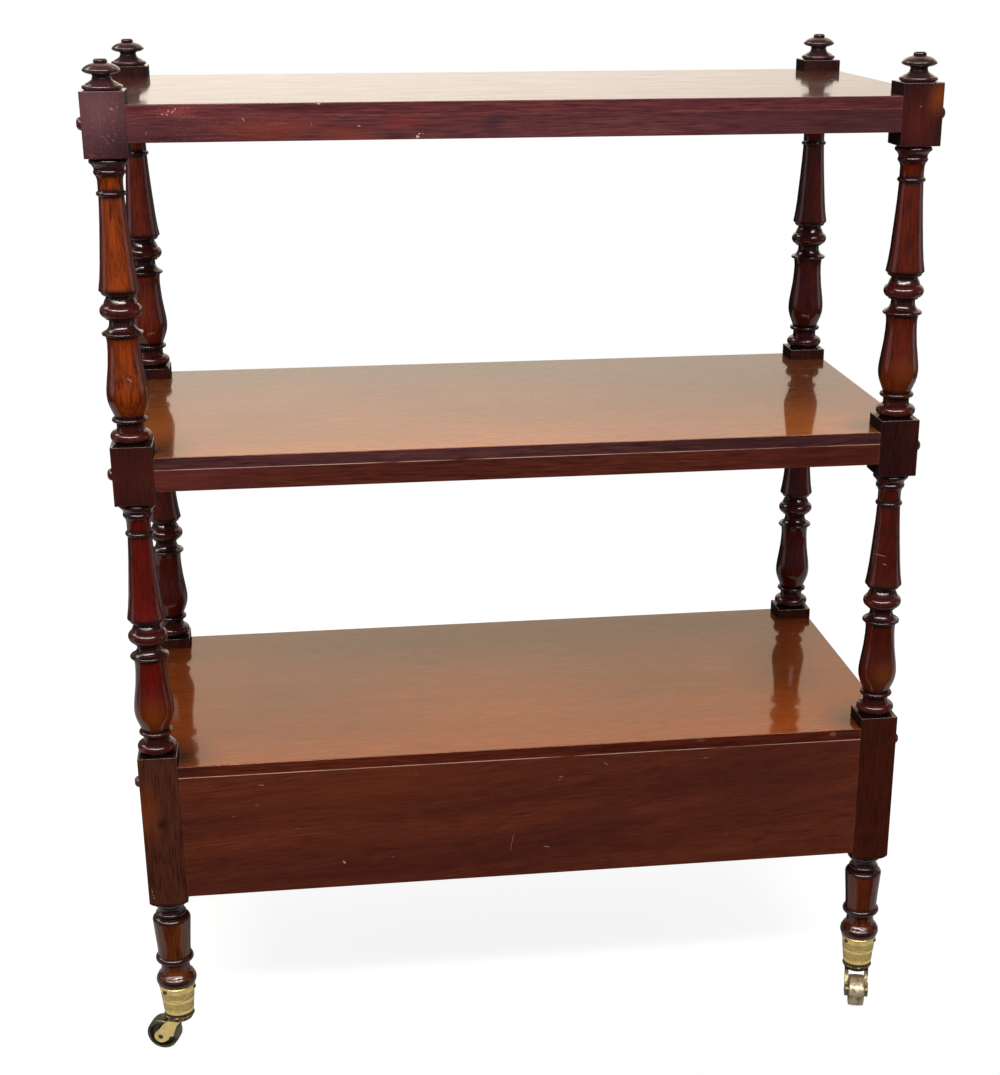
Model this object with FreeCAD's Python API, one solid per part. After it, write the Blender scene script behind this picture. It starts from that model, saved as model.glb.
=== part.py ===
import FreeCAD, Part
import math
import os

# A three-tier whatnot: four turned mahogany posts, three plain shelves, rails and a deep
# apron under the bottom shelf, on brass cup castors.
# Millimetres. +Z is up, the origin is on the floor under the middle, -Y is the front.

V = FreeCAD.Vector

# ---------------------------------------------------------------- driving dimensions
WIDTH = 864.0           # over the posts, left to right (34 in)
DEPTH = 419.0           # over the posts, front to back (16 1/2 in)
POST = 43.0             # side of the square blocks
SHELF_TOPS = {"bottom": 369.0, "middle": 720.0, "top": 1071.0}
BOARD = 13.0            # thickness of a shelf board
BLOCK_PROUD = 12.5      # how far a block stands above its shelf
BLOCK_HEIGHT = 63.0     # blocks of the top and middle tiers
LOW_BLOCK_HEIGHT = 183.0
RAIL_DROP = 36.0        # shelf top to the bottom of a plain rail
APRON_DROP = 160.0      # shelf top to the bottom of the apron
RAIL = 20.0             # thickness of rails and aprons
WHEEL_RADIUS = 19.0     # 1 1/2 in castor
WHEEL_WIDTH = 18.5
TRAIL = 20.0            # swivel axis to axle

# ---------------------------------------------------------------- joinery and fits
EDGE_SETBACK = 0.8      # board edge behind the faces of rails and posts
NOTCH_GAP = 0.15        # board to post
ARRIS = 0.8             # softened edges of blocks and boards
TENON = 13.0            # length of a stub tenon
TENON_THICK = 9.0
MORTISE_GAP = 0.15
BOLT_DROP = 18.0        # shelf top to the bolt's axis
BOLT_R = 3.1
BOLT_HOLE_R = 3.3
BOLT_HEAD_R = 5.4
BOLT_HEAD = 4.5
COUNTERBORE_R = 6.6
COUNTERBORE = 12.0
BOLT_IN_RAIL = 46.0     # how far a bolt runs into the rail's end
NUT = 9.5               # side of the square nut
NUT_THICK = 6.0
NUT_GAP = 0.3
CAP_R = 6.5
CAP_PROUD = 5.0
SCREW_R = 2.1
SCREW_HEAD_R = 4.2
SCREW_HEAD = 3.0
SCREW_BITE = 9.0        # how far a shelf screw goes into the board
GLUE_LEG = 16.0
APRON_GLUE_LEG = 26.0
GLUE_LENGTH = 60.0
PEG_R = 5.0
PEG = 18.0
PEG_GAP = 0.1

# ---------------------------------------------------------------- castor heights above the floor
HORN_PLATE = (41.2, 44.4)
HORN_BOSS_TOP = 45.4    # bearing boss on the plate
CUP_BOTTOM = 45.7
CUP_FLOOR = 51.2
SPIGOT_END = 54.8
CUP_TOP = 87.5
CUP_R_TOP = 20.6
CUP_R_BOTTOM = 16.5
CUP_LIP_R = 17.6
CUP_LIP = 3.0           # height of the lip and the flare above it
SPIGOT_R_TOP = 18.0
SPIGOT_R_END = 14.4
SPIGOT_GAP = 0.1
PLATE_R = 15.6
HORN_BOSS_R = 11.0
PIN_R = 4.5
PIN_RUNNING = 0.08
PIN_HEAD_R = 6.2
PIN_COLLAR_R = 9.0
LEG_INNER = 9.7         # half the gap between the horn's legs
LEG_THICK = 4.4
LEG_ROOT = ((-4.6, 40.0), (10.0, 40.0))     # where a leg leaves the plate: distance out, height
BOSS_R = 7.8
AXLE_R = 3.0
AXLE_RUNNING = 0.06
AXLE_PROUD = 0.6
CUP_BANDS = ((30.6, 21.8), (16.2, 8.8))     # knurled bands, measured down from the cup's top
BAND_SUNK = 0.35
CUP_SCREW_R = 2.8
CUP_SCREW_SHANK_R = 1.2
CUP_SCREW_SEAT = 19.8   # pin axis to the underside of a head
CUP_SCREW_DOME = 3.6    # radius of the domed head
CUP_SCREW_DROP = 4.9    # cup top to the screws
CUP_SCREW_ANGLES = (0.0, 120.0, 240.0)

# ---------------------------------------------------------------- worked out
HALF_W = WIDTH / 2
HALF_D = DEPTH / 2
POST_X = HALF_W - POST / 2
POST_Y = HALF_D - POST / 2
INNER_X = HALF_W - POST          # inner faces of the blocks
INNER_Y = HALF_D - POST
RAIL_Y = HALF_D - RAIL / 2       # centre line of a long rail
RAIL_X = HALF_W - RAIL / 2       # centre line of a short rail
LOW_BLOCK_BOTTOM = SHELF_TOPS["bottom"] + BLOCK_PROUD - LOW_BLOCK_HEIGHT
POST_TOP = SHELF_TOPS["top"] + BLOCK_PROUD
EMBED = 2.0                      # how far a turned stretch is let into its block

CORNERS = {
    "front_left": (-1, -1),
    "front_right": (1, -1),
    "back_left": (-1, 1),
    "back_right": (1, 1),
}
# direction in which each wheel trails, and how its three cup screws are turned
TRAIL_ANGLE = {"front_left": 162.0, "front_right": -105.0, "back_left": 75.0, "back_right": 105.0}
CUP_SCREW_TURN = {"front_left": -132.0, "front_right": -35.0, "back_left": 20.0, "back_right": 65.0}
SCREW_STATIONS = (-260.0, 0.0, 260.0)
GLUE_STATIONS = (-130.0, 130.0)
SIDE_GLUE_STATIONS = (-75.0, 75.0)


def box(x0, x1, y0, y1, z0, z1):
    """A block between two opposite corners, given in any order."""
    low = V(min(x0, x1), min(y0, y1), min(z0, z1))
    return Part.makeBox(abs(x1 - x0), abs(y1 - y0), abs(z1 - z0), low)


def rod(radius, start, end):
    """A round bar between two points."""
    return Part.makeCylinder(radius, (end - start).Length, start, end - start)


def moved(shape, x=0.0, y=0.0, z=0.0):
    copy = shape.copy()
    copy.translate(V(x, y, z))
    return copy


class Outline:
    """Half of a turned section, drawn from the bottom of the axis to the top."""

    def __init__(self, z):
        self.at = V(0, 0, z)
        self.edges = []

    def _to(self, curve, end):
        self.edges.append(curve.toShape())
        self.at = end
        return self

    def line(self, r, z):
        end = V(r, 0, z)
        return self._to(Part.LineSegment(self.at, end), end)

    def arc(self, r_mid, z_mid, r, z):
        end = V(r, 0, z)
        return self._to(Part.Arc(self.at, V(r_mid, 0, z_mid), end), end)

    def bead(self, r_peak, r, z):
        """A round moulding that stands out to r_peak halfway up."""
        return self.arc(r_peak, (self.at.z + z) / 2, r, z)

    def curve(self, *points):
        path = [self.at] + [V(r, 0, z) for r, z in points]
        spline = Part.BSplineCurve()
        spline.interpolate(path)
        return self._to(spline, path[-1])

    def turned(self, z):
        """Closes the section along the axis at height z and turns it."""
        start = self.edges[0].Vertexes[0].Point
        self.line(0, z)
        self._to(Part.LineSegment(self.at, start), start)
        face = Part.Face(Part.Wire(self.edges))
        return face.revolve(V(0, 0, 0), V(0, 0, 1), 360)


# ---------------------------------------------------------------- posts and finials
def column(z):
    """The baluster between a block's top at z and the underside of the next block."""
    o = Outline(z - EMBED).line(17.0, z - EMBED).line(17.0, z + 1.8)
    o.bead(21.4, 17.0, z + 13.2).line(14.4, z + 14.0)
    o.arc(14.0, z + 18.0, 14.4, z + 22.0).line(16.2, z + 22.6)
    o.bead(18.4, 16.2, z + 27.2).line(14.9, z + 27.8)
    o.curve(
        (16.8, z + 32.5), (20.2, z + 41.5), (21.6, z + 51.0), (20.9, z + 61.0),
        (18.2, z + 80.0), (16.8, z + 97.0), (16.8, z + 107.0), (17.6, z + 112.0),
    )
    o.line(20.4, z + 112.8).bead(21.0, 20.4, z + 115.6)
    o.arc(15.4, z + 118.6, 13.0, z + 123.6).line(12.8, z + 128.4)
    o.line(15.8, z + 129.0).line(15.8, z + 130.2)
    o.bead(21.4, 16.8, z + 143.8).line(16.8, z + 144.8)
    o.curve((16.2, z + 147.0), (14.2, z + 150.2)).line(13.8, z + 152.6)
    o.arc(17.4, z + 153.6, 18.6, z + 156.2).line(20.5, z + 157.6)
    o.line(20.6, z + 158.6)
    o.curve((18.9, z + 168.5), (17.4, z + 182.0), (16.0, z + 199.0), (14.0, z + 226.0), (12.7, z + 250.2))
    o.line(13.3, z + 250.6).bead(14.9, 13.3, z + 255.2).line(12.7, z + 255.6)
    o.curve((12.5, z + 262.0), (13.0, z + 267.5), (14.4, z + 271.0))
    o.line(14.9, z + 271.2).bead(15.8, 15.0, z + 276.0)
    o.curve((15.6, z + 278.4), (17.4, z + 281.0), (18.5, z + 282.0))
    o.bead(19.5, 18.5, z + 286.2).line(17.0, z + 286.4)
    top = z + COLUMN + EMBED
    return o.line(17.0, top).turned(top)


def foot():
    """The turned foot under the lowest block, down to the spigot inside the cup."""
    z = LOW_BLOCK_BOTTOM
    o = Outline(SPIGOT_END).line(SPIGOT_R_END, SPIGOT_END).line(SPIGOT_R_TOP, CUP_TOP)
    o.line(20.2, CUP_TOP).arc(23.0, z - 104.4, 20.4, z - 98.4).line(19.8, z - 98.0).line(20.3, z - 97.3)
    o.curve((17.7, z - 94.2), (16.2, z - 89.8)).line(16.0, z - 81.6)
    o.line(16.9, z - 80.6).arc(21.7, z - 76.4, 18.7, z - 72.2)
    o.curve((19.3, z - 57.0), (20.5, z - 41.0), (21.4, z - 27.5))
    o.arc(21.0, z - 23.8, 18.8, z - 21.6).line(16.0, z - 20.4)
    o.bead(17.3, 15.6, z - 15.4).arc(14.7, z - 11.4, 15.8, z - 7.6)
    o.arc(19.4, z - 4.6, 20.6, z)
    return o.line(20.6, z + EMBED).turned(z + EMBED)


def pommel():
    """Envelope that rounds the lower corners of the lowest block, as the lathe leaves them."""
    z = LOW_BLOCK_BOTTOM
    o = Outline(z).line(21.2, z).arc(27.8, z + 1.6, 31.2, z + 7.0)
    return o.line(31.2, POST_TOP).turned(POST_TOP)


def block(z0, z1):
    solid = box(-POST / 2, POST / 2, -POST / 2, POST / 2, z0, z1)
    return solid.makeFillet(ARRIS, solid.Edges)


COLUMN = SHELF_TOPS["top"] + BLOCK_PROUD - BLOCK_HEIGHT - SHELF_TOPS["middle"] - BLOCK_PROUD


def plain_post():
    """A post on its own axis, before any joint is cut."""
    low_top = LOW_BLOCK_BOTTOM + LOW_BLOCK_HEIGHT
    solid = block(LOW_BLOCK_BOTTOM, low_top).common(pommel())
    for tier in ("middle", "top"):
        top = SHELF_TOPS[tier] + BLOCK_PROUD
        solid = solid.fuse(block(top - BLOCK_HEIGHT, top))
    for start in (low_top, SHELF_TOPS["middle"] + BLOCK_PROUD):
        solid = solid.fuse(column(start))
    solid = solid.fuse(foot())
    peg_hole = rod(PEG_R + PEG_GAP, V(0, 0, POST_TOP - PEG - 1), V(0, 0, POST_TOP + 1))
    return solid.cut(peg_hole)


def rail_height(tier):
    """Bottom and top of the rails or aprons of a tier."""
    top = SHELF_TOPS[tier] - BOARD
    drop = APRON_DROP if tier == "bottom" else RAIL_DROP
    return SHELF_TOPS[tier] - drop, top


def tenon_height(tier):
    """Bottom and top of the tenons of a tier: below the bolt, clear of the rail's lower edge."""
    low, _ = rail_height(tier)
    top = SHELF_TOPS[tier] - BOLT_DROP - BOLT_HOLE_R - 1.2
    return low + 2.5, top


def post(sx, sy):
    """One post in its place, with mortises, bolt holes and counterbores."""
    solid = moved(plain_post(), sx * POST_X, sy * POST_Y)
    half = TENON_THICK / 2 + MORTISE_GAP
    for tier in SHELF_TOPS:
        z0, z1 = tenon_height(tier)
        z0, z1 = z0 - MORTISE_GAP, z1 + MORTISE_GAP
        deep = TENON + 0.5
        y = sy * RAIL_Y
        long_mortise = box(sx * INNER_X, sx * (INNER_X + deep), y - half, y + half, z0, z1)
        x = sx * RAIL_X
        short_mortise = box(x - half, x + half, sy * INNER_Y, sy * (INNER_Y + deep), z0, z1)
        z = SHELF_TOPS[tier] - BOLT_DROP
        hole = rod(BOLT_HOLE_R, V(sx * (INNER_X - 1), y, z), V(sx * HALF_W, y, z))
        bore = rod(COUNTERBORE_R, V(sx * (HALF_W - COUNTERBORE), y, z), V(sx * (HALF_W + 1), y, z))
        solid = solid.cut([long_mortise, short_mortise, hole, bore])
    return solid


def finial(sx, sy):
    """A turned finial: rim, hollow neck, flattened knob and button, on a dowel peg."""
    z = POST_TOP
    o = Outline(z - PEG).line(PEG_R, z - PEG).line(PEG_R, z).line(17.8, z)
    o.line(17.8, z + 0.5).arc(19.9, z + 2.5, 18.2, z + 4.8).line(16.9, z + 5.0)
    o.curve((15.4, z + 6.2), (11.2, z + 8.6), (9.3, z + 10.4))
    o.bead(9.7, 8.9, z + 11.6).arc(9.1, z + 13.4, 12.2, z + 15.0)
    o.curve((16.4, z + 16.4), (18.3, z + 18.2), (16.6, z + 20.8), (12.6, z + 23.4), (7.0, z + 25.2))
    o.line(6.3, z + 25.6).arc(6.8, z + 26.8, 6.3, z + 28.0).line(5.0, z + 29.0)
    return moved(o.turned(z + 29.0), sx * POST_X, sy * POST_Y)


# ---------------------------------------------------------------- boards, rails and their fixings
def board(tier):
    """A shelf board, notched round the four posts."""
    top = SHELF_TOPS[tier]
    half_x, half_y = HALF_W - EDGE_SETBACK, HALF_D - EDGE_SETBACK
    solid = box(-half_x, half_x, -half_y, half_y, top - BOARD, top)
    notches = []
    for sx, sy in CORNERS.values():
        x, y = sx * (INNER_X - NOTCH_GAP), sy * (INNER_Y - NOTCH_GAP)
        notches.append(box(x, sx * HALF_W, y, sy * HALF_D, top - BOARD - 1, top + 1))
    solid = solid.cut(notches)
    rim = [e for e in solid.Edges if abs(e.BoundBox.ZMin - top) < 1e-6]
    return solid.makeFillet(ARRIS, rim).cut(shelf_screws(tier))


def long_rail(tier, sy):
    """A front or back rail or apron, with tenons, bolt holes and nut slots."""
    z0, z1 = rail_height(tier)
    y = sy * RAIL_Y
    solid = box(-INNER_X, INNER_X, y - RAIL / 2, y + RAIL / 2, z0, z1)
    t0, t1 = tenon_height(tier)
    reach = INNER_X + TENON
    half = TENON_THICK / 2
    solid = solid.fuse(box(-reach, reach, y - half, y + half, t0, t1))
    z = SHELF_TOPS[tier] - BOLT_DROP
    slot = NUT / 2 + NUT_GAP
    for sx in (-1, 1):
        end = INNER_X - BOLT_IN_RAIL
        solid = solid.cut(rod(BOLT_HOLE_R, V(sx * end, y, z), V(sx * INNER_X, y, z)))
        near, far = nut_place(sx)
        near, far = near + sx * NUT_GAP, far - sx * NUT_GAP
        solid = solid.cut(box(near, far, y - slot, y + slot, z - slot, z1 + 1))
    return solid.cut(shelf_screws(tier)).removeSplitter()


def short_rail(tier, sx):
    """A left or right rail or apron, with tenons."""
    z0, z1 = rail_height(tier)
    x = sx * RAIL_X
    solid = box(x - RAIL / 2, x + RAIL / 2, -INNER_Y, INNER_Y, z0, z1)
    t0, t1 = tenon_height(tier)
    reach = INNER_Y + TENON
    half = TENON_THICK / 2
    solid = solid.fuse(box(x - half, x + half, -reach, reach, t0, t1))
    return solid.cut(shelf_screws(tier)).removeSplitter()


def nut_place(sx):
    """Outer and inner face of a nut, along X."""
    outer = INNER_X - BOLT_IN_RAIL + 8.0 + NUT_THICK
    return sx * outer, sx * (outer - NUT_THICK)


def bolt_points():
    """Side, and centre line in Y and Z, of every rail bolt."""
    for tier in SHELF_TOPS:
        for sx, sy in CORNERS.values():
            yield sx, sy * RAIL_Y, SHELF_TOPS[tier] - BOLT_DROP


def rail_bolts():
    solids = []
    for sx, y, z in bolt_points():
        seat = HALF_W - COUNTERBORE
        shank = rod(BOLT_R, V(sx * (INNER_X - BOLT_IN_RAIL + 2), y, z), V(sx * seat, y, z))
        head = rod(BOLT_HEAD_R, V(sx * seat, y, z), V(sx * (seat + BOLT_HEAD), y, z))
        solids.append(shank.fuse(head))
    return Part.Compound(solids)


def bolt_nuts():
    solids = []
    for sx, y, z in bolt_points():
        near, far = nut_place(sx)
        body = box(near, far, y - NUT / 2, y + NUT / 2, z - NUT / 2, z + NUT / 2)
        solids.append(body.cut(rod(BOLT_R, V(near + sx, y, z), V(far - sx, y, z))))
    return Part.Compound(solids)


def bolt_caps():
    """Turned domes with a spigot that closes the counterbore."""
    spigot = COUNTERBORE - BOLT_HEAD - 0.4
    o = Outline(-spigot).line(CAP_R, -spigot).line(CAP_R, 0.9)
    shape = o.arc(CAP_R * 0.76, CAP_PROUD * 0.78, 0.6, CAP_PROUD).turned(CAP_PROUD)
    solids = []
    for sx, y, z in bolt_points():
        cap = shape.copy()
        cap.rotate(V(0, 0, 0), V(0, 1, 0), 90 * sx)
        solids.append(moved(cap, sx * HALF_W, y, z))
    return Part.Compound(solids)


def glue_block_places(tier):
    """Origin, direction along and direction inwards of each glue block of a tier."""
    z = SHELF_TOPS[tier] - BOARD
    for sy in (-1, 1):
        for x in GLUE_STATIONS:
            yield V(x, sy * (HALF_D - RAIL), z), V(1, 0, 0), V(0, -sy, 0)
    for sx in (-1, 1):
        for y in SIDE_GLUE_STATIONS:
            yield V(sx * (HALF_W - RAIL), y, z), V(0, 1, 0), V(-sx, 0, 0)


def glue_leg(tier):
    return APRON_GLUE_LEG if tier == "bottom" else GLUE_LEG


def glue_blocks():
    """Bevelled blocks in the corner between a rail and the board above it."""
    solids = []
    for tier in SHELF_TOPS:
        leg = glue_leg(tier)
        for corner, along, inward in glue_block_places(tier):
            start = corner - along * (GLUE_LENGTH / 2)
            down = V(0, 0, -leg)
            bevel = 0.35
            points = [start, start + down, start + down + inward * leg * bevel]
            points += [start + inward * leg + down * bevel, start + inward * leg, start]
            prism = Part.Face(Part.makePolygon(points)).extrude(along * GLUE_LENGTH)
            if tier == "bottom":
                prism = prism.cut(shelf_screws(tier))
            solids.append(prism)
    return Part.Compound(solids)


def screw_places(tier):
    """Foot of the head of each screw that holds a board down."""
    low, top = rail_height(tier)
    if tier == "bottom":
        leg = glue_leg(tier)
        for corner, _, inward in glue_block_places(tier):
            yield corner + inward * (leg * 0.3) + V(0, 0, -leg)
        return
    for sy in (-1, 1):
        for x in SCREW_STATIONS:
            yield V(x, sy * RAIL_Y, low)
    for sx in (-1, 1):
        yield V(sx * RAIL_X, 0, low)


def shelf_screws(tier):
    """Countersunk wood screws, driven up into the board of a tier."""
    tip = SHELF_TOPS[tier] - BOARD + SCREW_BITE
    solids = []
    for foot_point in screw_places(tier):
        x, y, z = foot_point
        o = Outline(z).line(SCREW_HEAD_R, z).line(SCREW_R, z + SCREW_HEAD)
        o.line(SCREW_R, tip - 2.0).line(0.4, tip)
        solids.append(moved(o.turned(tip), x, y))
    return Part.Compound(solids)


def all_shelf_screws():
    return Part.Compound([s for tier in SHELF_TOPS for s in shelf_screws(tier).Solids])


# ---------------------------------------------------------------- castors, built on the swivel axis
def castor_cup():
    """Tapered brass socket with a base lip, a top bead and two sunk bands."""
    slope = (CUP_R_TOP - CUP_R_BOTTOM) / (CUP_TOP - CUP_BOTTOM)

    def side(below_top):
        return CUP_R_TOP - slope * below_top, CUP_TOP - below_top

    o = Outline(CUP_BOTTOM).line(CUP_LIP_R - 0.4, CUP_BOTTOM)
    o.bead(CUP_LIP_R, CUP_LIP_R - 0.6, CUP_BOTTOM + 1.4).line(*side(CUP_TOP - CUP_BOTTOM - CUP_LIP))
    for low, high in CUP_BANDS:
        r_low, z_low = side(low)
        r_high, z_high = side(high)
        o.line(r_low, z_low).line(r_low - BAND_SUNK, z_low + BAND_SUNK)
        o.line(r_high - BAND_SUNK, z_high - BAND_SUNK).line(r_high, z_high)
    o.line(*side(2.2)).bead(CUP_R_TOP + 0.5, CUP_R_TOP, CUP_TOP)
    outer = o.turned(CUP_TOP)
    end = SPIGOT_R_END + SPIGOT_GAP
    hollow = Outline(CUP_FLOOR).line(end - 0.3, CUP_FLOOR).line(end, SPIGOT_END)
    hollow = hollow.line(SPIGOT_R_TOP + SPIGOT_GAP, CUP_TOP)
    hollow = hollow.line(SPIGOT_R_TOP + SPIGOT_GAP, CUP_TOP + 1).turned(CUP_TOP + 1)
    pin_hole = rod(PIN_R, V(0, 0, CUP_BOTTOM - 1), V(0, 0, CUP_FLOOR + 1))
    return outer.cut([hollow, pin_hole])


def castor_pin():
    """Swivel pin: a collar on the cup's floor, a shank, and a riveted head under the plate."""
    low = HORN_PLATE[0] - 0.3
    o = Outline(low - 1.9).line(PIN_HEAD_R - 1.2, low - 1.9).line(PIN_HEAD_R, low - 1.0)
    o.line(PIN_HEAD_R, low).line(PIN_R, low).line(PIN_R, CUP_FLOOR)
    top = CUP_FLOOR + 3.2
    return o.line(PIN_COLLAR_R, CUP_FLOOR).line(PIN_COLLAR_R, top).turned(top)


def horn_leg():
    """One shaped leg, as an upright plate in the XZ plane that trails towards +X."""
    def p(u, z):
        return V(u, 0, z)

    top = HORN_PLATE[0] + 1.2
    axle = WHEEL_RADIUS
    root_near, root_far = p(*LEG_ROOT[0]), p(*LEG_ROOT[1])
    waist, spur, notch = p(3.2, 25.4), p(4.6, 20.4), p(9.4, 19.2)
    boss_low = p(TRAIL - 5.6, axle - 5.43)
    boss_high = p(TRAIL + 2.0, axle + 7.54)
    edges = [
        Part.LineSegment(p(root_near.x, top), root_near),
        Part.Arc(root_near, p(0.6, 33.2), waist),
        Part.LineSegment(waist, spur),
        Part.Arc(spur, p(7.4, 21.4), notch),
        Part.Arc(notch, p(11.2, 15.6), boss_low),
        Part.Arc(boss_low, p(TRAIL + BOSS_R, axle), boss_high),
        Part.Arc(boss_high, p(17.6, 33.6), root_far),
        Part.LineSegment(root_far, p(root_far.x, top)),
        Part.LineSegment(p(root_far.x, top), p(root_near.x, top)),
    ]
    face = Part.Face(Part.Wire([e.toShape() for e in edges]))
    return face.extrude(V(0, LEG_THICK, 0))


def castor_horn():
    low, high = HORN_PLATE
    plate = Outline(low).line(PLATE_R - 0.8, low).arc(PLATE_R, (low + high) / 2, PLATE_R - 0.8, high)
    plate = plate.line(HORN_BOSS_R, high).line(HORN_BOSS_R, HORN_BOSS_TOP)
    solid = plate.turned(HORN_BOSS_TOP)
    leg = horn_leg()
    solid = solid.fuse([moved(leg, y=LEG_INNER), moved(leg, y=-LEG_INNER - LEG_THICK)])
    reach = LEG_INNER + LEG_THICK + 1
    bores = [
        rod(PIN_R + PIN_RUNNING, V(0, 0, low - 2), V(0, 0, HORN_BOSS_TOP + 1)),
        rod(AXLE_R, V(TRAIL, -reach, WHEEL_RADIUS), V(TRAIL, reach, WHEEL_RADIUS)),
    ]
    return solid.cut(bores).removeSplitter()


def castor_axle():
    half = LEG_INNER + LEG_THICK + AXLE_PROUD
    axle = rod(AXLE_R, V(TRAIL, -half, WHEEL_RADIUS), V(TRAIL, half, WHEEL_RADIUS))
    return axle.makeChamfer(AXLE_PROUD * 0.8, [e for e in axle.Edges if e.BoundBox.YLength < 1e-6])


def castor_wheel():
    """Roller with a slightly crowned tread, dished faces and a hub."""
    half = WHEEL_WIDTH / 2
    bore = AXLE_R + AXLE_RUNNING
    web, hub = 4.0, 7.0
    rim, dish = 15.2, 14.2
    shoulder, crown = 17.2, 18.7
    section = [
        Part.LineSegment(V(bore, 0, -half), V(hub, 0, -half)),
        Part.LineSegment(V(hub, 0, -half), V(hub + 1, 0, -web)),
        Part.LineSegment(V(hub + 1, 0, -web), V(dish, 0, -web)),
        Part.LineSegment(V(dish, 0, -web), V(rim, 0, -half)),
        Part.LineSegment(V(rim, 0, -half), V(shoulder, 0, -half)),
        Part.Arc(V(shoulder, 0, -half), V(18.2, 0, 0.5 - half), V(crown, 0, 1.6 - half)),
        Part.Arc(V(crown, 0, 1.6 - half), V(WHEEL_RADIUS, 0, 0), V(crown, 0, half - 1.6)),
        Part.Arc(V(crown, 0, half - 1.6), V(18.2, 0, half - 0.5), V(shoulder, 0, half)),
        Part.LineSegment(V(shoulder, 0, half), V(rim, 0, half)),
        Part.LineSegment(V(rim, 0, half), V(dish, 0, web)),
        Part.LineSegment(V(dish, 0, web), V(hub + 1, 0, web)),
        Part.LineSegment(V(hub + 1, 0, web), V(hub, 0, half)),
        Part.LineSegment(V(hub, 0, half), V(bore, 0, half)),
        Part.LineSegment(V(bore, 0, half), V(bore, 0, -half)),
    ]
    face = Part.Face(Part.Wire([e.toShape() for e in section]))
    wheel = face.revolve(V(0, 0, 0), V(0, 0, 1), 360)
    wheel.rotate(V(0, 0, 0), V(1, 0, 0), 90)
    return moved(wheel, x=TRAIL, z=WHEEL_RADIUS)


def cup_screws_at(name):
    """Three round-headed screws through the plain top band of one cup."""
    z = CUP_TOP - CUP_SCREW_DROP
    solids = []
    for angle in CUP_SCREW_ANGLES:
        turn = math.radians(angle + CUP_SCREW_TURN[name])
        out = V(math.cos(turn), math.sin(turn), 0)
        centre = V(0, 0, z)
        seat = centre + out * CUP_SCREW_SEAT
        shank = rod(CUP_SCREW_SHANK_R, centre + out * (CUP_SCREW_SEAT / 2), seat + out * 0.4)
        head = Part.makeSphere(CUP_SCREW_DOME, seat - out * (CUP_SCREW_DOME - 2.2))
        head = head.common(rod(CUP_SCREW_R, seat, seat + out * CUP_SCREW_DOME))
        solids.append(shank.fuse(head))
    return solids


def at_castor(shape, name, swivel=True):
    """Places a castor piece under its post, turned the way that castor trails."""
    placed = shape.copy()
    if swivel:
        placed.rotate(V(0, 0, 0), V(0, 0, 1), TRAIL_ANGLE[name])
    sx, sy = CORNERS[name]
    return moved(placed, sx * POST_X, sy * POST_Y)


def main():
    parts = {}
    for name, (sx, sy) in CORNERS.items():
        screws = Part.Compound([at_castor(s, name, swivel=False) for s in cup_screws_at(name)])
        parts["post_" + name] = post(sx, sy).cut(screws)
        parts["finial_" + name] = finial(sx, sy)
        parts["castor_cup_" + name] = at_castor(castor_cup(), name, swivel=False).cut(screws)
        parts["castor_pin_" + name] = at_castor(castor_pin(), name)
        parts["castor_horn_" + name] = at_castor(castor_horn(), name)
        parts["castor_axle_" + name] = at_castor(castor_axle(), name)
        parts["castor_wheel_" + name] = at_castor(castor_wheel(), name)
    for tier in SHELF_TOPS:
        kind = "apron" if tier == "bottom" else "rail_" + tier
        parts["shelf_" + tier] = board(tier)
        parts[kind + "_front"] = long_rail(tier, -1)
        parts[kind + "_back"] = long_rail(tier, 1)
        parts[kind + "_left"] = short_rail(tier, -1)
        parts[kind + "_right"] = short_rail(tier, 1)
    parts["rail_bolts"] = rail_bolts()
    parts["bolt_nuts"] = bolt_nuts()
    parts["bolt_caps"] = bolt_caps()
    parts["glue_blocks"] = glue_blocks()
    parts["shelf_screws"] = all_shelf_screws()
    cup_screws = [at_castor(s, n, swivel=False) for n in CORNERS for s in cup_screws_at(n)]
    parts["cup_screws"] = Part.Compound(cup_screws)

    os.makedirs("parts", exist_ok=True)
    for node, shape in sorted(parts.items()):
        if not shape.isValid() or shape.Volume <= 0:
            raise ValueError(node + " is not a sound solid")
        shape.exportStep("parts/" + node + ".step")
        size = shape.BoundBox
        sides = "%.1f x %.1f x %.1f mm" % (size.XLength, size.YLength, size.ZLength)
        print("%-28s %2d solid(s)  %9.0f mm3  %s" % (node, len(shape.Solids), shape.Volume, sides))
    print(len(parts), "nodes")


main()
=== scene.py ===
# %% [markdown]
# # A three-tier mahogany whatnot on brass castors
#
# This lesson dresses a finished frame: four turned posts, three boards, rails, aprons,
# castors and their fixings, all at their real size. Blender gives each piece its surface,
# and makes the few metal pieces whose fine work, such as knurling and screw slots, is too
# small for the cabinet maker's drawing.
#
# Everything is in metres, with Z up, -Y the front and the floor at Z = 0.

# %% Load the frame
import cmath
import math

import bmesh
import bpy
from mathutils import Matrix, Vector


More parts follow.
